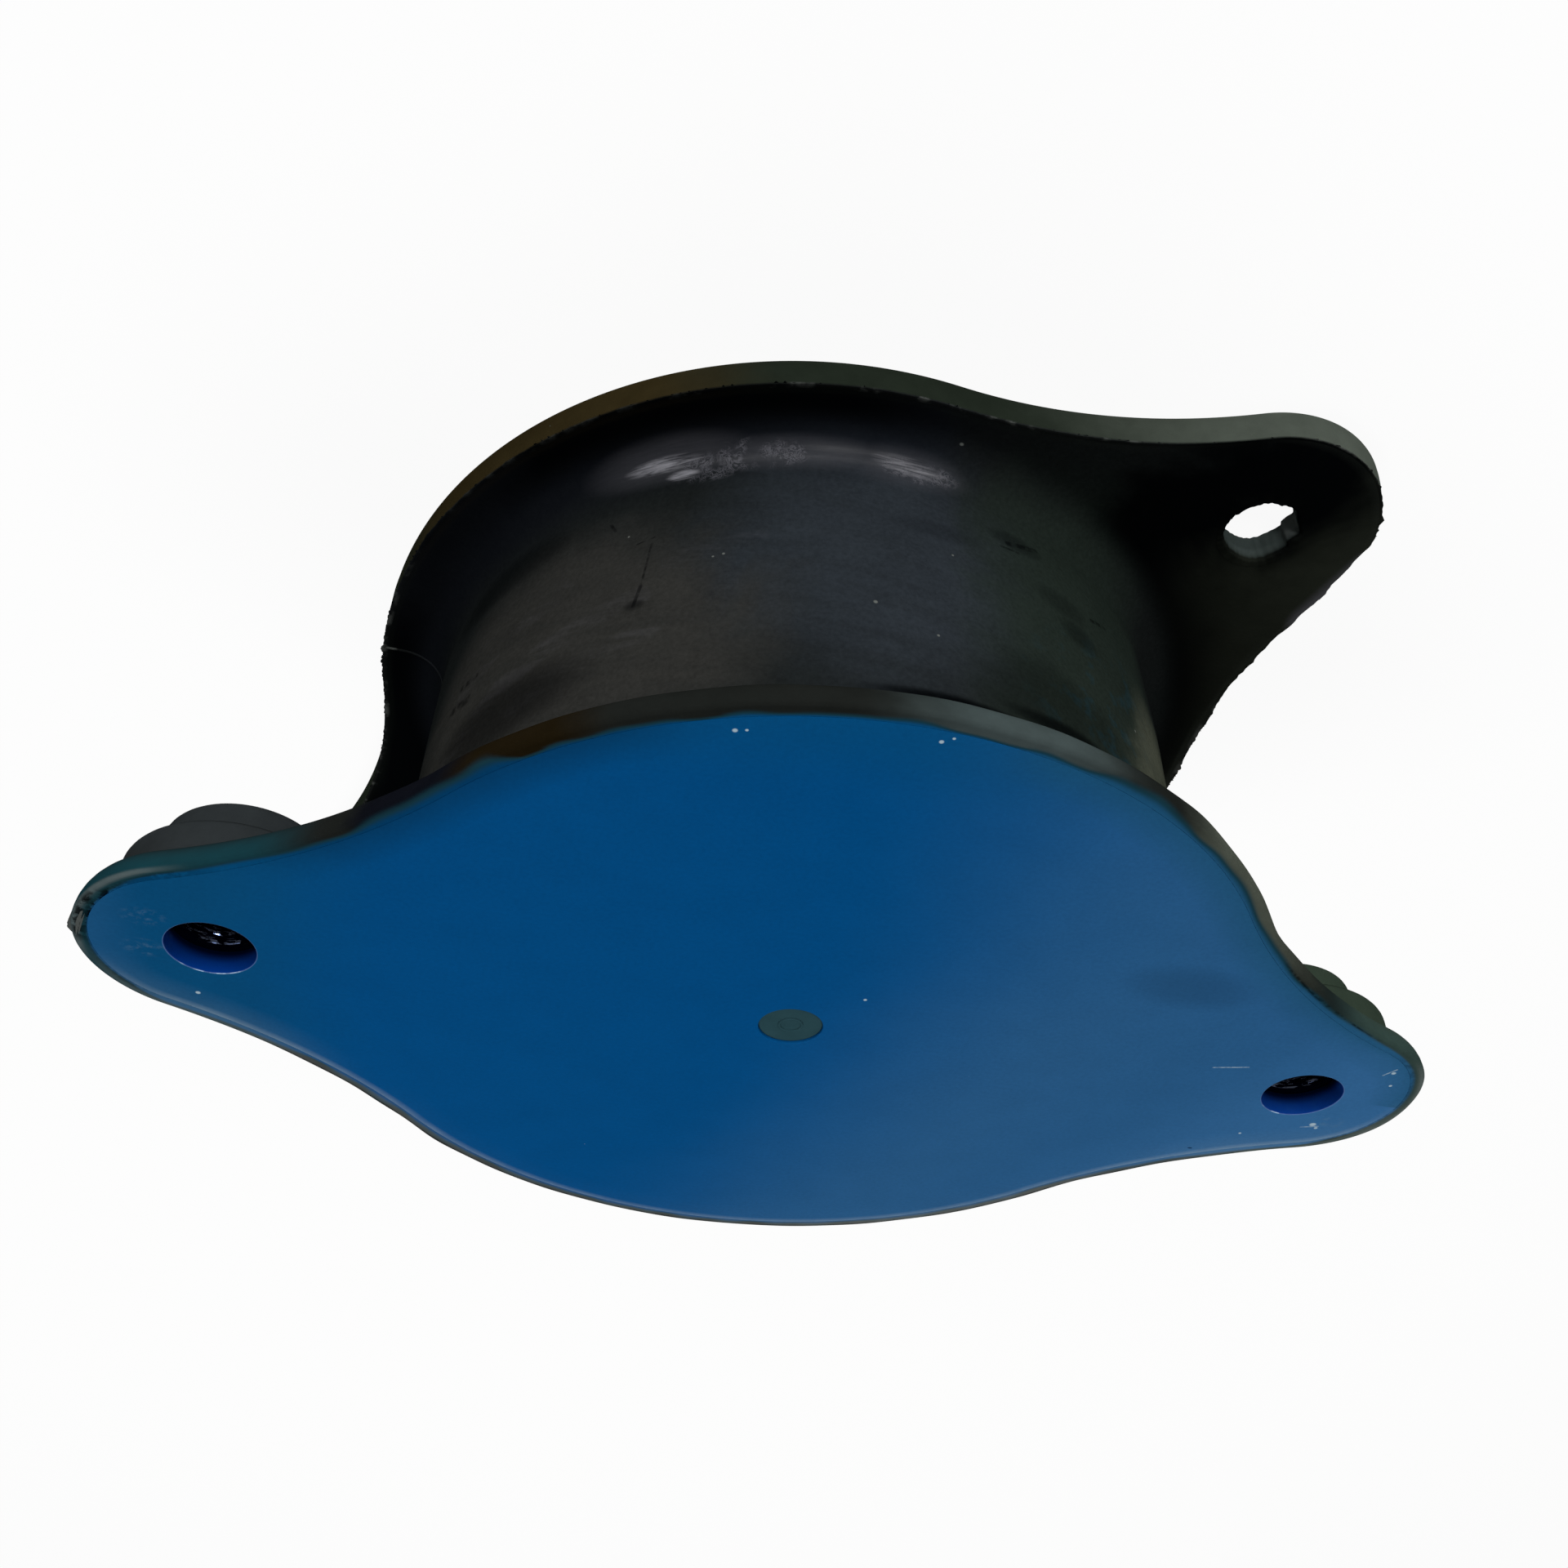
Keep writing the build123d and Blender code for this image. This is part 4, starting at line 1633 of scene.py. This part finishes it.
    def paint(self, points: Array) -> Array:
        """How much of the plate's paint runs over the front border.

        Args:
            points: The points in millimetres.

        Returns:
            The mask.
        """
        degrees, depth, z = self.measured(points)
        out = BORDER - depth + self.run_drop * (HEIGHT - z)
        over = self.run + arcs(degrees, self.overlap) + waves(np.radians(degrees), *self.run_wave)
        over *= 1 - arcs(degrees, self.shorter)
        low = self.run_start
        amount = 1 - step((out - low) / (over - low), 0.0, 1.0)
        return amount * step(z, *self.shoulder)

    def spray(self, points: Array) -> Array:
        """How much thin overspray the rims of the front ears caught.

        Args:
            points: The points in millimetres.

        Returns:
            The mask.
        """
        degrees, depth, z = self.measured(points)
        rim = step(z, *self.spray_height) * step(np.abs(depth), *self.spray_depth)
        return rim * strongest(degrees, self.spray_arcs) * self.spray_share

    def pale(self, points: Array) -> Array:
        """Where pale dust lies on the border: its far side and the ears' tips.

        Args:
            points: The points in millimetres.

        Returns:
            The mask.
        """
        degrees, depth, z = self.measured(points)
        outer, inner = self.dust_width
        far = self.dust_least + arcs(degrees, self.dust_more)
        back = arcs(degrees, self.dust_border) * step(depth, *outer) * step(depth, *inner) * far
        tips = strongest(degrees, self.dust_tips) * step(depth, *self.dust_tip_width)
        both = np.maximum(back * self.dust_share, tips * self.dust_tip_share)
        return step(z, *self.dust_height) * both

    def crack(self, points: Array) -> Array:
        """Where the border is cracked or pitted, and painted shade along its outer edge on the far side.

        Args:
            points: The points in millimetres.

        Returns:
            The mask.
        """
        degrees, depth, z = self.measured(points)
        cracks = strongest(degrees, self.crack_arcs) * step(depth, *self.crack_depth)
        pits = [arcs(degrees, (place,)) * step(np.abs(depth - middle), *fade)
                for place, middle, fade in self.pits]
        # Painted shade along the outer edge on the +Y side
        outer = arcs(degrees, self.painted_shade_border) * step(depth, *self.painted_shade_depth) * step(z, *self.shoulder)
        return np.maximum(reduce(np.maximum, [cracks, *pits]) * step(z, *self.top), outer)

    def rim(self, points: Array) -> Array:
        """The grey rims of both flanges.

        Args:
            points: The points in millimetres.

        Returns:
            The mask.
        """
        at, radius = polar(points)
        front, rear, z = self.front.reach(at) - radius, self.rear.reach(at) - radius, points[:, 2]
        at_front = step(front, *self.front_rim_depth) * step(z, *self.front_rim_height)
        at_rear = step(rear, *self.rear_rim_depth) * step(z, *self.rear_rim_height)
        return np.maximum(at_front * self.front_rim_share, at_rear)

    def torn(self, points: Array) -> Array:
        """The torn inner edge of the rear rim.

        Args:
            points: The points in millimetres.

        Returns:
            The mask.
        """
        at, radius = polar(points)
        edge, z = self.rear.reach(at) - radius, points[:, 2]
        low, high = self.torn_heights
        return step(edge, *self.torn_depth) * step(z, *low) * step(z, *high)

    def build(self, finish: Material) -> Part:
        """Makes the whole moulding.

        Args:
            finish: Its rubber.

        Returns:
            The finished piece, which stands for the CAD body.
        """
        at = directions()
        rings = self.front_rings(at) + self.side_rings(at) + self.rear_rings(at)
        part = place("rubber_moulding", loft("rubber_moulding", rings))
        combined(part, joined("bosses", [self.boss(1), self.boss(-1)]), "UNION")
        combined(part, joined("rooms", self.cutters()), "DIFFERENCE")
        masked(part, {"paint": self.paint, "spray": self.spray, "pale": self.pale, "crack": self.crack,
                      "rim": self.rim, "torn": self.torn})
        dressed(part, finish, self.sharp)
        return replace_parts(part, "rubber_body")


@dataclass
class TornFlash:
    """Small slivers of rubber left along the rear rim, where the mould's halves met."""

    moulding: RubberMoulding
    inset: float = 0.35
    count: int = 420
    kept: float = 0.55
    seed: int = 11
    smallest: Point = (0.12, 0.4, 0.2)
    largest: Point = (0.3, 1.9, 0.75)
    sides: int = 5
    tip: float = 0.1
    foot: float = 0.5
    length: float = 1.0
    sunk: float = 0.05
    torn: float = 0.6
    sharp: float = 50.0

    def build(self, finish: Material) -> Part:
        """Scatters slivers along the rim with Geometry Nodes.

        Args:
            finish: The rubber.

        Returns:
            The finished piece.
        """
        at = directions()
        inset = self.inset + self.moulding.shrunk(at)
        carrier = wire("torn_flash", self.moulding.rear.ring(at, inset, FLANGE - self.sunk), True)
        g = GeometryRecipe("torn_flash")
        count = g.size("Count", self.count, "NodeSocketInt")
        kept = g.size("Share Kept", self.kept)
        seed = g.size("Seed", self.seed, "NodeSocketInt")
        least = g.size("Smallest", self.smallest, "NodeSocketVector")
        most = g.size("Largest", self.largest, "NodeSocketVector")
        curve = g.node("GeometryNodeMeshToCurve", {}, {0: g.start})
        spots = g.node("GeometryNodeCurveToPoints", {"mode": "COUNT"}, {"Curve": curve, "Count": count})
        values = {"Vertices": self.sides, "Radius Top": self.tip * MM, "Radius Bottom": self.foot * MM}
        sliver = g.node("GeometryNodeMeshCone", {}, {**values, "Depth": self.length * MM})
        where = g.node("GeometryNodeInputPosition", {}, {})
        x, y = (g.node("ShaderNodeSeparateXYZ", {}, {0: where}, axis) for axis in (0, 1))
        heading = g.node("ShaderNodeMath", {"operation": "ARCTAN2"}, {0: y, 1: x})
        turned = g.node("ShaderNodeCombineXYZ", {}, {0: 0.0, 1: math.pi / 2, 2: heading})
        size = g.node("FunctionNodeRandomValue", {"data_type": "FLOAT_VECTOR"},
                      {0: least, 1: most, "Seed": seed}, 0)
        chosen = g.node("FunctionNodeRandomValue", {"data_type": "BOOLEAN"},
                        {"Probability": kept, "Seed": seed}, 3)
        values = {"Points": spots, "Selection": chosen, "Instance": sliver, "Rotation": turned, "Scale": size}
        scattered = g.node("GeometryNodeInstanceOnPoints", {}, values)
        part = g.run(carrier, scattered, finish)
        masked(part, {"torn": self.torn})
        return dressed(part, finish, self.sharp)


@dataclass
class PartingSeam:
    """The fine raised line on each side of the block where the mould's halves met."""

    moulding: RubberMoulding
    radius: float = 0.3
    sunk: float = 0.12
    outer: float = 94.6
    gap: float = 0.8
    steps: int = 20
    lean_start: float = -1.4
    lean: float = 4.2
    lean_height: float = 30.0
    lean_rate: float = 3.0
    torn: float = 0.9
    torn_height: Spot = (16, 7)
    sharp: float = 60.0

    def path(self, side: int) -> Array:
        """The seam's points over the rear skin, the flare and the wall.

        Args:
            side: 1 for the +X side and -1 for the other.

        Returns:
            The points in millimetres.
        """
        m = self.moulding
        reach, rise = m.rear_flare
        low, top = m.wall_ends()
        foot = m.wall(low) + reach
        line = [(self.outer, FLANGE), ((self.outer + foot) / 2, FLANGE)]
        line += [(foot - reach * math.sin(a), low - rise * math.cos(a)) for a in arc(0, 90, 9)]
        for share in (i / self.steps for i in range(1, self.steps + 1)):
            z = low + (top - low) * share
            line.append((m.wall(z) + m.swell * math.sin(math.pi * share), z))
        points = []
        for radius, z in line:
            swing = math.sin(math.radians(min(z - FLANGE, self.lean_height) * self.lean_rate))
            lean = math.radians(self.lean_start + self.lean * swing)
            drop = radius - self.sunk
            points.append((side * drop * math.cos(lean), drop * math.sin(lean) * (1 if side > 0 else -1), z))
        return np.array(points)

    def build(self, finish: Material) -> Part:
        """Leads a thin round ridge along both seams with Geometry Nodes.

        Args:
            finish: The rubber.

        Returns:
            The finished piece.
        """
        paths = [wire(f"seam_{side}", self.path(side), False) for side in (1, -1)]
        carrier = joined("parting_seam", paths)
        g = GeometryRecipe("parting_seam")
        radius = g.size("Radius", self.radius * MM)
        gap = g.size("Step", self.gap * MM)
        curve = g.node("GeometryNodeMeshToCurve", {}, {0: g.start})
        even = g.node("GeometryNodeResampleCurve", {"mode": "LENGTH"}, {"Curve": curve, "Length": gap})
        profile = g.node("GeometryNodeCurvePrimitiveCircle", {}, {"Resolution": 8, "Radius": radius})
        values = {"Curve": even, "Profile Curve": profile, "Fill Caps": True}
        ridge = g.node("GeometryNodeCurveToMesh", {}, values)
        part = g.run(carrier, ridge, finish)
        masked(part, {"torn": lambda points: self.torn * step(points[:, 2], *self.torn_height)})
        return dressed(part, finish, self.sharp)


@dataclass
class HoleLining:
    """Thin uneven films of rubber that ran into the rear plate's two bolt holes.

    Its arcs are changes of its inner radius round the hole: less than 0 where it stands further in.
    """

    offset: float = FlangeOutline.offset
    inner: float = 7.75
    columns: int = 120
    both: Ovals = ((-0.25, -34, 4, 7), (0.45, -165, 8, 12))
    left: Ovals = ((-0.95, 100, 34, 40), (-0.5, 12, 22, 30), (-0.85, 178, 5, 10))
    slow: Wave = (0.16, 31, 2, 9)
    quick: Wave = (0.05, 33, 10, 40)
    edge: Wave = (0.12, 35, 8, 40)
    deep: Spot = (5.8, 4.8)
    sharp: float = 45.0
    rim: float = 0.85
    spray: float = 0.3
    nub_turn: Point = (-178, 12, 12)

    def film(self, side: int) -> Mesh:
        """One film as a closed mesh round its hole.

        Args:
            side: 1 for the +X ear and -1 for the other.

        Returns:
            The mesh.
        """
        at = np.linspace(0, TAU, self.columns, endpoint=False)
        degrees = np.degrees(at)
        size, seed, low, high = self.slow
        thin = self.inner + waves(at, size, seed + side, low, high) + waves(at, *self.quick)
        thin = thin + arcs(degrees, self.both)
        if side < 0:
            thin = thin + arcs(degrees, self.left)
        edge = waves(at, *self.edge)
        rings = [(BOLT_HOLE, 0.2), (thin + 0.3, 0.15), (thin, 0.5 + 0.3 * np.abs(edge)), (thin + 0.12, 2.5),
                 (thin - 0.05, 4.6), (thin + 0.05, FLANGE - 0.5), (thin + 0.25, FLANGE - 0.05 + edge),
                 (thin + 0.6, FLANGE + 0.12 + edge * 0.5), (BOLT_HOLE + 0.3, FLANGE + 0.06),
                 (BOLT_HOLE, FLANGE - 0.3)]
        middle = side * self.offset * DIAGONAL
        placed = [round_ring(at, radius, z) + np.array([middle, middle, 0]) for radius, z in rings]
        return loft("film", placed, True)

    def depth(self, points: Array) -> Array:
        """1 inside the hole, fading out at its mouth."""
        return step(points[:, 2], *self.deep)

    def nub(self, points: Array) -> Array:
        """The pale nub in the hole of the -X ear.

        Args:
            points: The points in millimetres.

        Returns:
            The mask.
        """
        turn, _ = polar(points[:, :2] + self.offset * DIAGONAL)
        return (0.3 + 0.7 * around(np.degrees(turn), *self.nub_turn)) * self.depth(points)

    def build(self, finish: Material) -> Part:
        """Makes both films.

        Args:
            finish: The rubber.

        Returns:
            The finished piece.
        """
        part = joined("hole_lining", [place(f"film_{side}", self.film(side)) for side in (1, -1)])
        masked(part, {"rim": lambda points: self.rim * self.depth(points),
                      "spray": lambda points: self.spray * self.depth(points), "pale": self.nub})
        return dressed(part, finish, self.sharp)


@dataclass
class EarTipLump:
    """A small angular lump of flash on the tip of the front flange's +X ear."""

    corners: tuple[Point, ...] = (
        (135.4, -8.2, 88.8), (136.6, -6.4, 89.4), (138.0, -2.0, 89.0), (139.2, 2.2, 87.8),
        (138.6, 2.0, 86.6), (137.9, 4.4, 88.0), (137.1, 4.2, 86.2), (136.6, -5.4, 86.6),
        (134.2, -7.4, 90.25), (135.8, -2.4, 90.35), (136.4, 1.7, 90.2), (134.0, -7.0, 87.0),
        (134.5, 2.4, 86.5), (134.5, -2.0, 86.0),
    )
    edge: float = 0.25
    rim: float = 0.9
    pale: float = 0.5
    sharp: float = 30.0

    def build(self, finish: Material) -> Part:
        """Makes the lump.

        Args:
            finish: The rubber.

        Returns:
            The finished piece.
        """
        work = bmesh.new()
        for corner in self.corners:
            work.verts.new(Vector(corner) * MM)
        bmesh.ops.convex_hull(work, input=work.verts)
        bmesh.ops.delete(work, geom=[v for v in work.verts if not v.link_faces], context="VERTS")
        bmesh.ops.bevel(work, geom=work.edges[:], offset=self.edge * MM, segments=2, affect="EDGES")
        bmesh.ops.triangulate(work, faces=work.faces)
        bmesh.ops.recalc_face_normals(work, faces=work.faces)
        mesh = bpy.data.meshes.new("ear_tip_lump")
        work.to_mesh(mesh)
        work.free()
        part = place("ear_tip_lump", mesh)
        masked(part, {"rim": self.rim, "pale": self.pale})
        return dressed(part, finish, self.sharp)


@dataclass
class EaredPlate:
    """A steel plate with eased edges, painted on its open face and in its holes."""

    name: str
    outline: FlangeOutline
    low: float
    open_up: bool
    holes: Sequence[Point]
    edge: float = 0.1
    hole_edge: float = 0.22
    far_edge: Point = (92, 80, 10)
    worn_zone: Spot = (-2.2, 0.0)
    lip_zones: Zones = ((0.0, 0.04), (0.2, 0.15))
    bore_zone: Spot = (0.2, 0.05)
    brim_zone: Spot = (-8.0, 1.0)
    sharp: float = 42.0

    def nearest(self, points: Array) -> Array:
        """How far outside the nearest bolt hole's wall points lie.

        Args:
            points: The points in millimetres.

        Returns:
            The distances.
        """
        away = [np.hypot(points[:, 0] - x, points[:, 1] - y) - radius
                for x, y, radius in self.holes if radius > GATE_HOLE]
        return np.min(away, axis=0)

    def past(self, points: Array) -> Array:
        """How far past the plate's outline points lie.

        Args:
            points: The points in millimetres.

        Returns:
            The distances, less than 0 inside.
        """
        angle, radius = polar(points)
        return radius - self.outline.reach(angle, BORDER)

    def worn(self, points: Array) -> Array:
        """The far edge, where the paint is rubbed."""
        degrees = np.degrees(polar(points)[0])
        return step(self.past(points), *self.worn_zone) * around(degrees, *self.far_edge)

    def lip(self, points: Array) -> Array:
        """The rounded mouths of the bolt holes."""
        away = self.nearest(points)
        return step(away, *self.lip_zones[0]) * step(away, *self.lip_zones[1])

    def bore(self, points: Array) -> Array:
        """The walls of the bolt holes."""
        return step(self.nearest(points), *self.bore_zone)

    def brim(self, points: Array) -> Array:
        """The band along the plate's edge."""
        return step(self.past(points), *self.brim_zone)

    def build(self, finish: Material) -> Part:
        """Makes the plate.

        Args:
            finish: Its paint.

        Returns:
            The finished piece, which stands for its CAD node.
        """
        at = directions()
        e = self.edge
        profile = [(0.0, PLATE), (0.0, e), (0.3 * e, 0.3 * e), (e, 0.0), (2.0, 0.0), (8.0, 0.0)]
        rings = [self.outline.ring(at, BORDER + inset, self.world(PLATE - down)) for inset, down in profile]
        part = place(self.name + "_painted", loft(self.name, rings))
        cutters = [self.cutter(index, *hole) for index, hole in enumerate(self.holes)]
        combined(part, joined("holes", cutters), "DIFFERENCE")
        masked(part, {"bore": self.bore, "edge": self.worn, "brim": self.brim, "lip": self.lip})
        dressed(part, finish, self.sharp)
        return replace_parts(part, self.name)

    def world(self, height: float) -> float:
        """A height above the plate's hidden face as a height in the row frame."""
        return self.low + height if self.open_up else self.low + PLATE - height

    def cutter(self, index: int, x: float, y: float, radius: float) -> Part:
        """The room of one hole, flared at the open face.

        Args:
            index: The hole's number.
            x: Its middle's X.
            y: Its middle's Y.
            radius: Its radius.

        Returns:
            The solid to cut out.
        """
        e = self.hole_edge
        profile = [(radius, -1.0), (radius, PLATE - e)]
        profile += [(radius + e - e * math.cos(a), PLATE - e + e * math.sin(a)) for a in arc(15, 90, 4)]
        profile.append((radius + e, PLATE + 1))
        return turned_solid(f"hole_{index}", [(r, self.world(h)) for r, h in profile], (x, y))


@dataclass
class ThreadedBush:
    """A round steel bush with a real internal thread."""

    name: str
    x: float
    major: float = 8.0
    minor: float = 6.92
    pitch: float = 2.0
    mouth: float = 1.0
    thread_start: float = 0.5
    thread_short: float = 1.4
    root_share: float = 0.9
    crest_share: float = 0.2
    columns: int = 96
    steps: int = 64
    sharp: float = 40.0

    def body(self) -> Part:
        """The bush with its bore at the thread's full width.

        Returns:
            The solid.
        """
        angles = np.linspace(0, TAU, self.columns, endpoint=False)
        shape = [(self.major, BUSH_END), (BUSH, BUSH_END), (BUSH, FRONT_FACE),
                 (self.major + self.mouth, FRONT_FACE), (self.major, FRONT_FACE - self.mouth)]
        rings = [round_ring(angles, radius, z) + np.array([self.x, 0, 0]) for radius, z in shape]
        return place(self.name + "_threaded", loft(self.name, rings, True))

    def ridge(self, finish: Material) -> Part:
        """The thread's flat-topped ridge, led along a helix with Geometry Nodes.

        Args:
            finish: The steel.

        Returns:
            The ridge as a plain mesh.
        """
        g = GeometryRecipe("thread_ridge")
        length = FRONT_FACE - BUSH_END - self.thread_short
        foot = (self.x * MM, 0.0, (BUSH_END + self.thread_start) * MM)
        turns = g.size("Turns", length / self.pitch)
        radius = g.size("Radius", self.major * MM)
        height = g.size("Height", length * MM)
        depth = g.size("Depth", (self.major - self.minor) * MM)
        root = g.size("Root Width", self.root_share * self.pitch * MM)
        crest = g.size("Crest Width", self.crest_share * self.pitch * MM)
        start = g.size("Start", foot, "NodeSocketVector")
        values = {"Resolution": self.steps, "Rotations": turns, "Start Radius": radius, "End Radius": radius}
        helix = g.node("GeometryNodeCurveSpiral", {}, {**values, "Height": height})
        upright = g.node("GeometryNodeSetCurveNormal", {"mode": "Z_UP"}, {"Curve": helix})
        profile = g.node("GeometryNodeCurvePrimitiveQuadrilateral", {"mode": "TRAPEZOID"},
                         {"Bottom Width": root, "Top Width": crest, "Offset": 0.0, "Height": depth})
        values = {"Curve": upright, "Profile Curve": profile, "Fill Caps": True}
        swept = g.node("GeometryNodeCurveToMesh", {}, values)
        moved = g.node("GeometryNodeTransform", {}, {"Geometry": swept, "Translation": start})
        return g.run(place("ridge", bpy.data.meshes.new("ridge")), moved, finish)

    def build(self, finish: Material) -> Part:
        """Makes the bush.

        Args:
            finish: Its steel.

        Returns:
            The finished piece, which stands for its CAD node.
        """
        whole = joined(self.name + "_threaded", [self.body(), self.ridge(finish)])
        dressed(whole, finish, self.sharp)
        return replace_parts(whole, self.name)


@dataclass
class GatePlug:
    """The rubber plug in the front plate's middle hole, with the sprue's small ring on it."""

    low: float = 84.5
    top: float = 89.5
    ring: float = 2.3
    width: float = 0.6
    lift: float = 0.3
    rim: tuple[Spot, ...] = ((0.0, 0.25), (0.1, 0.08), (0.35, 0.0), (1.0, 0.03))
    outside: float = 0.06
    inside: float = 0.12
    middle: Spot = (0.4, 0.2)
    columns: int = 72
    spray: float = 0.85
    pale: float = 0.13
    sharp: float = 50.0

    def build(self, finish: Material) -> Part:
        """Makes the plug.

        Args:
            finish: Its rubber.

        Returns:
            The finished piece.
        """
        t = self.top
        half = self.width / 2
        profile = [(GATE_HOLE, self.low)] + [(GATE_HOLE - inward, t - down) for inward, down in self.rim]
        profile.append((self.ring + self.width, t - self.outside))
        profile += [(self.ring + half * math.cos(a), t + self.lift * math.sin(a)) for a in arc(0, 180, 8)]
        profile += [(self.ring - self.width, t - self.inside), (self.middle[0], t - self.middle[1])]
        part = turned_solid("gate_plug", profile, (0.0, 0.0), self.columns)
        masked(part, {"spray": self.spray, "pale": self.pale})
        return dressed(part, finish, self.sharp)


# Stage


@dataclass(frozen=True)
class Viewpoint:
    """The camera: its place in millimetres and the directions of its picture."""

    place: Point = (61.926, -259.698, 251.220)
    right: Point = (-0.972399, -0.233108, -0.010070)
    down: Point = (-0.157723, 0.624904, 0.764604)
    ahead: Point = (-0.171942, 0.745088, -0.644422)
    lens: float = 35.195
    sensor: float = 36.0
    clip: Spot = (0.01, 50.0)

    def build(self) -> None:
        """Makes the camera and lets the scene use it."""
        data = bpy.data.cameras.new("viewpoint")
        data.lens = self.lens
        data.sensor_width = self.sensor
        data.clip_start, data.clip_end = self.clip
        made = bpy.data.objects.new("viewpoint", data)
        bpy.context.scene.collection.objects.link(made)
        turn = Matrix([self.right, [-v for v in self.down], [-v for v in self.ahead]]).transposed().to_4x4()
        made.matrix_world = Matrix.Translation(Vector(self.place) * MM) @ turn
        bpy.context.scene.camera = made


@dataclass(frozen=True)
class Lamp:
    """One soft oblong lamp that points at the object."""

    name: str
    toward: Point
    size: Spot
    level: float
    distance: float = 1.3

    def build(self) -> None:
        """Makes the lamp; its level is the brightness that it gives a white surface square to it."""
        data = bpy.data.lights.new(self.name, "AREA")
        data.shape = "RECTANGLE"
        data.size, data.size_y = self.size
        data.energy = self.level * math.pi**2 * self.distance**2
        made = bpy.data.objects.new(self.name, data)
        bpy.context.scene.collection.objects.link(made)
        toward = Vector(self.toward)
        where = toward.normalized() * self.distance + Vector((0, 0, HEIGHT / 2 * MM))
        made.matrix_world = Matrix.Translation(where) @ toward.to_track_quat("Z", "Y").to_matrix().to_4x4()


@dataclass(frozen=True)
class Studio:
    """A pale floor, soft lamps from the viewer's side and from above, and an even sky."""

    lamps: tuple[Lamp, ...] = (
        Lamp("front", (0.12, -0.985, 0.12), (1.7, 0.28), 0.62),
        Lamp("window", (-0.015, -0.84, 0.51), (0.3, 0.16), 0.3),
        Lamp("top", (0.05, 0.45, 0.9), (0.9, 0.9), 0.62),
    )
    sky: float = 0.12
    glow: float = 0.93
    half: float = 12.0
    dull: Colour = chip(246, 246, 244)
    bright: Colour = chip(250, 250, 249)
    cloud: Grain = (60, 1)
    rough: float = 0.8

    def floor(self) -> None:
        """A large floor that shows white, with the object's soft shadow kept."""
        mesh = bpy.data.meshes.new("floor")
        corners = [(x * self.half, y * self.half, 0) for x, y in ((-1, -1), (1, -1), (1, 1), (-1, 1))]
        mesh.from_pydata(corners, [], [(0, 1, 2, 3)])
        made = place("floor", mesh)
        r = Recipe("pale_floor")
        r.finish(r.mix(self.dull, self.bright, r.noise(*self.cloud)), self.rough, Specular_IOR_Level=0.0)
        white = r.node("ShaderNodeEmission", {}, {"Color": (1.0, 1.0, 1.0, 1.0), "Strength": 1.0})
        values = {0: r.seen() * self.glow, 1: Signal(r, r.shader.outputs[0]), 2: white}
        r.feed(r.out.inputs[0], r.node("ShaderNodeMixShader", {}, values))
        mesh.materials.append(r.material)

    def world(self) -> None:
        """An even sky that shows white."""
        world = bpy.data.worlds.new("sky")
        bpy.context.scene.world = world
        world.use_nodes = True
        r = NodeRecipe(world.node_tree)
        strength = r.node("ShaderNodeMapRange", {}, {"Value": r.seen(), "To Min": self.sky})
        even = r.node("ShaderNodeBackground", {}, {"Color": (1, 1, 1, 1), "Strength": strength})
        r.node("ShaderNodeOutputWorld", {}, {0: even})

    def build(self) -> None:
        """Makes the floor, the lamps and the sky, and sets the plain view."""
        self.floor()
        for lamp in self.lamps:
            lamp.build()
        self.world()
        bpy.context.scene.view_settings.view_transform = "Standard"


def main() -> None:
    """Builds the buffer's pieces in order and reports each, then the stage."""
    logging.basicConfig(level=logging.INFO, format="%(name)s %(message)s")
    paint, rubber, steel = BluePaint().material(), BlackRubber().material(), PaintedThread().material()
    moulding = RubberMoulding()
    ear, hole = moulding.front.offset, BOLT_HOLE
    slant = ear * DIAGONAL
    front_holes = [(ear, 0.0, hole), (-ear, 0.0, hole), (0.0, 0.0, GATE_HOLE)]
    rear_holes = [(slant, slant, hole), (-slant, -slant, hole)]
    pieces = [
        (moulding, rubber), (TornFlash(moulding), rubber), (PartingSeam(moulding), rubber),
        (HoleLining(), rubber), (EarTipLump(), rubber),
        (EaredPlate("front_plate", moulding.front, FRONT_FACE, True, front_holes), paint),
        (EaredPlate("rear_plate", moulding.rear, 0.0, False, rear_holes), paint),
        (ThreadedBush("threaded_bush_right", ear), steel), (ThreadedBush("threaded_bush_left", -ear), steel),
        (GatePlug(), rubber),
    ]
    for assembly, finish in pieces:
        piece = assembly.build(finish)
        piece.data.calc_loop_triangles()
        LOG.info("%s: %d triangles", piece.name, len(piece.data.loop_triangles))
    Studio().build()
    Viewpoint().build()
    for spare in [mesh for mesh in bpy.data.meshes if mesh.users == 0]:
        bpy.data.meshes.remove(spare)


if __name__ == "__main__":
    main()
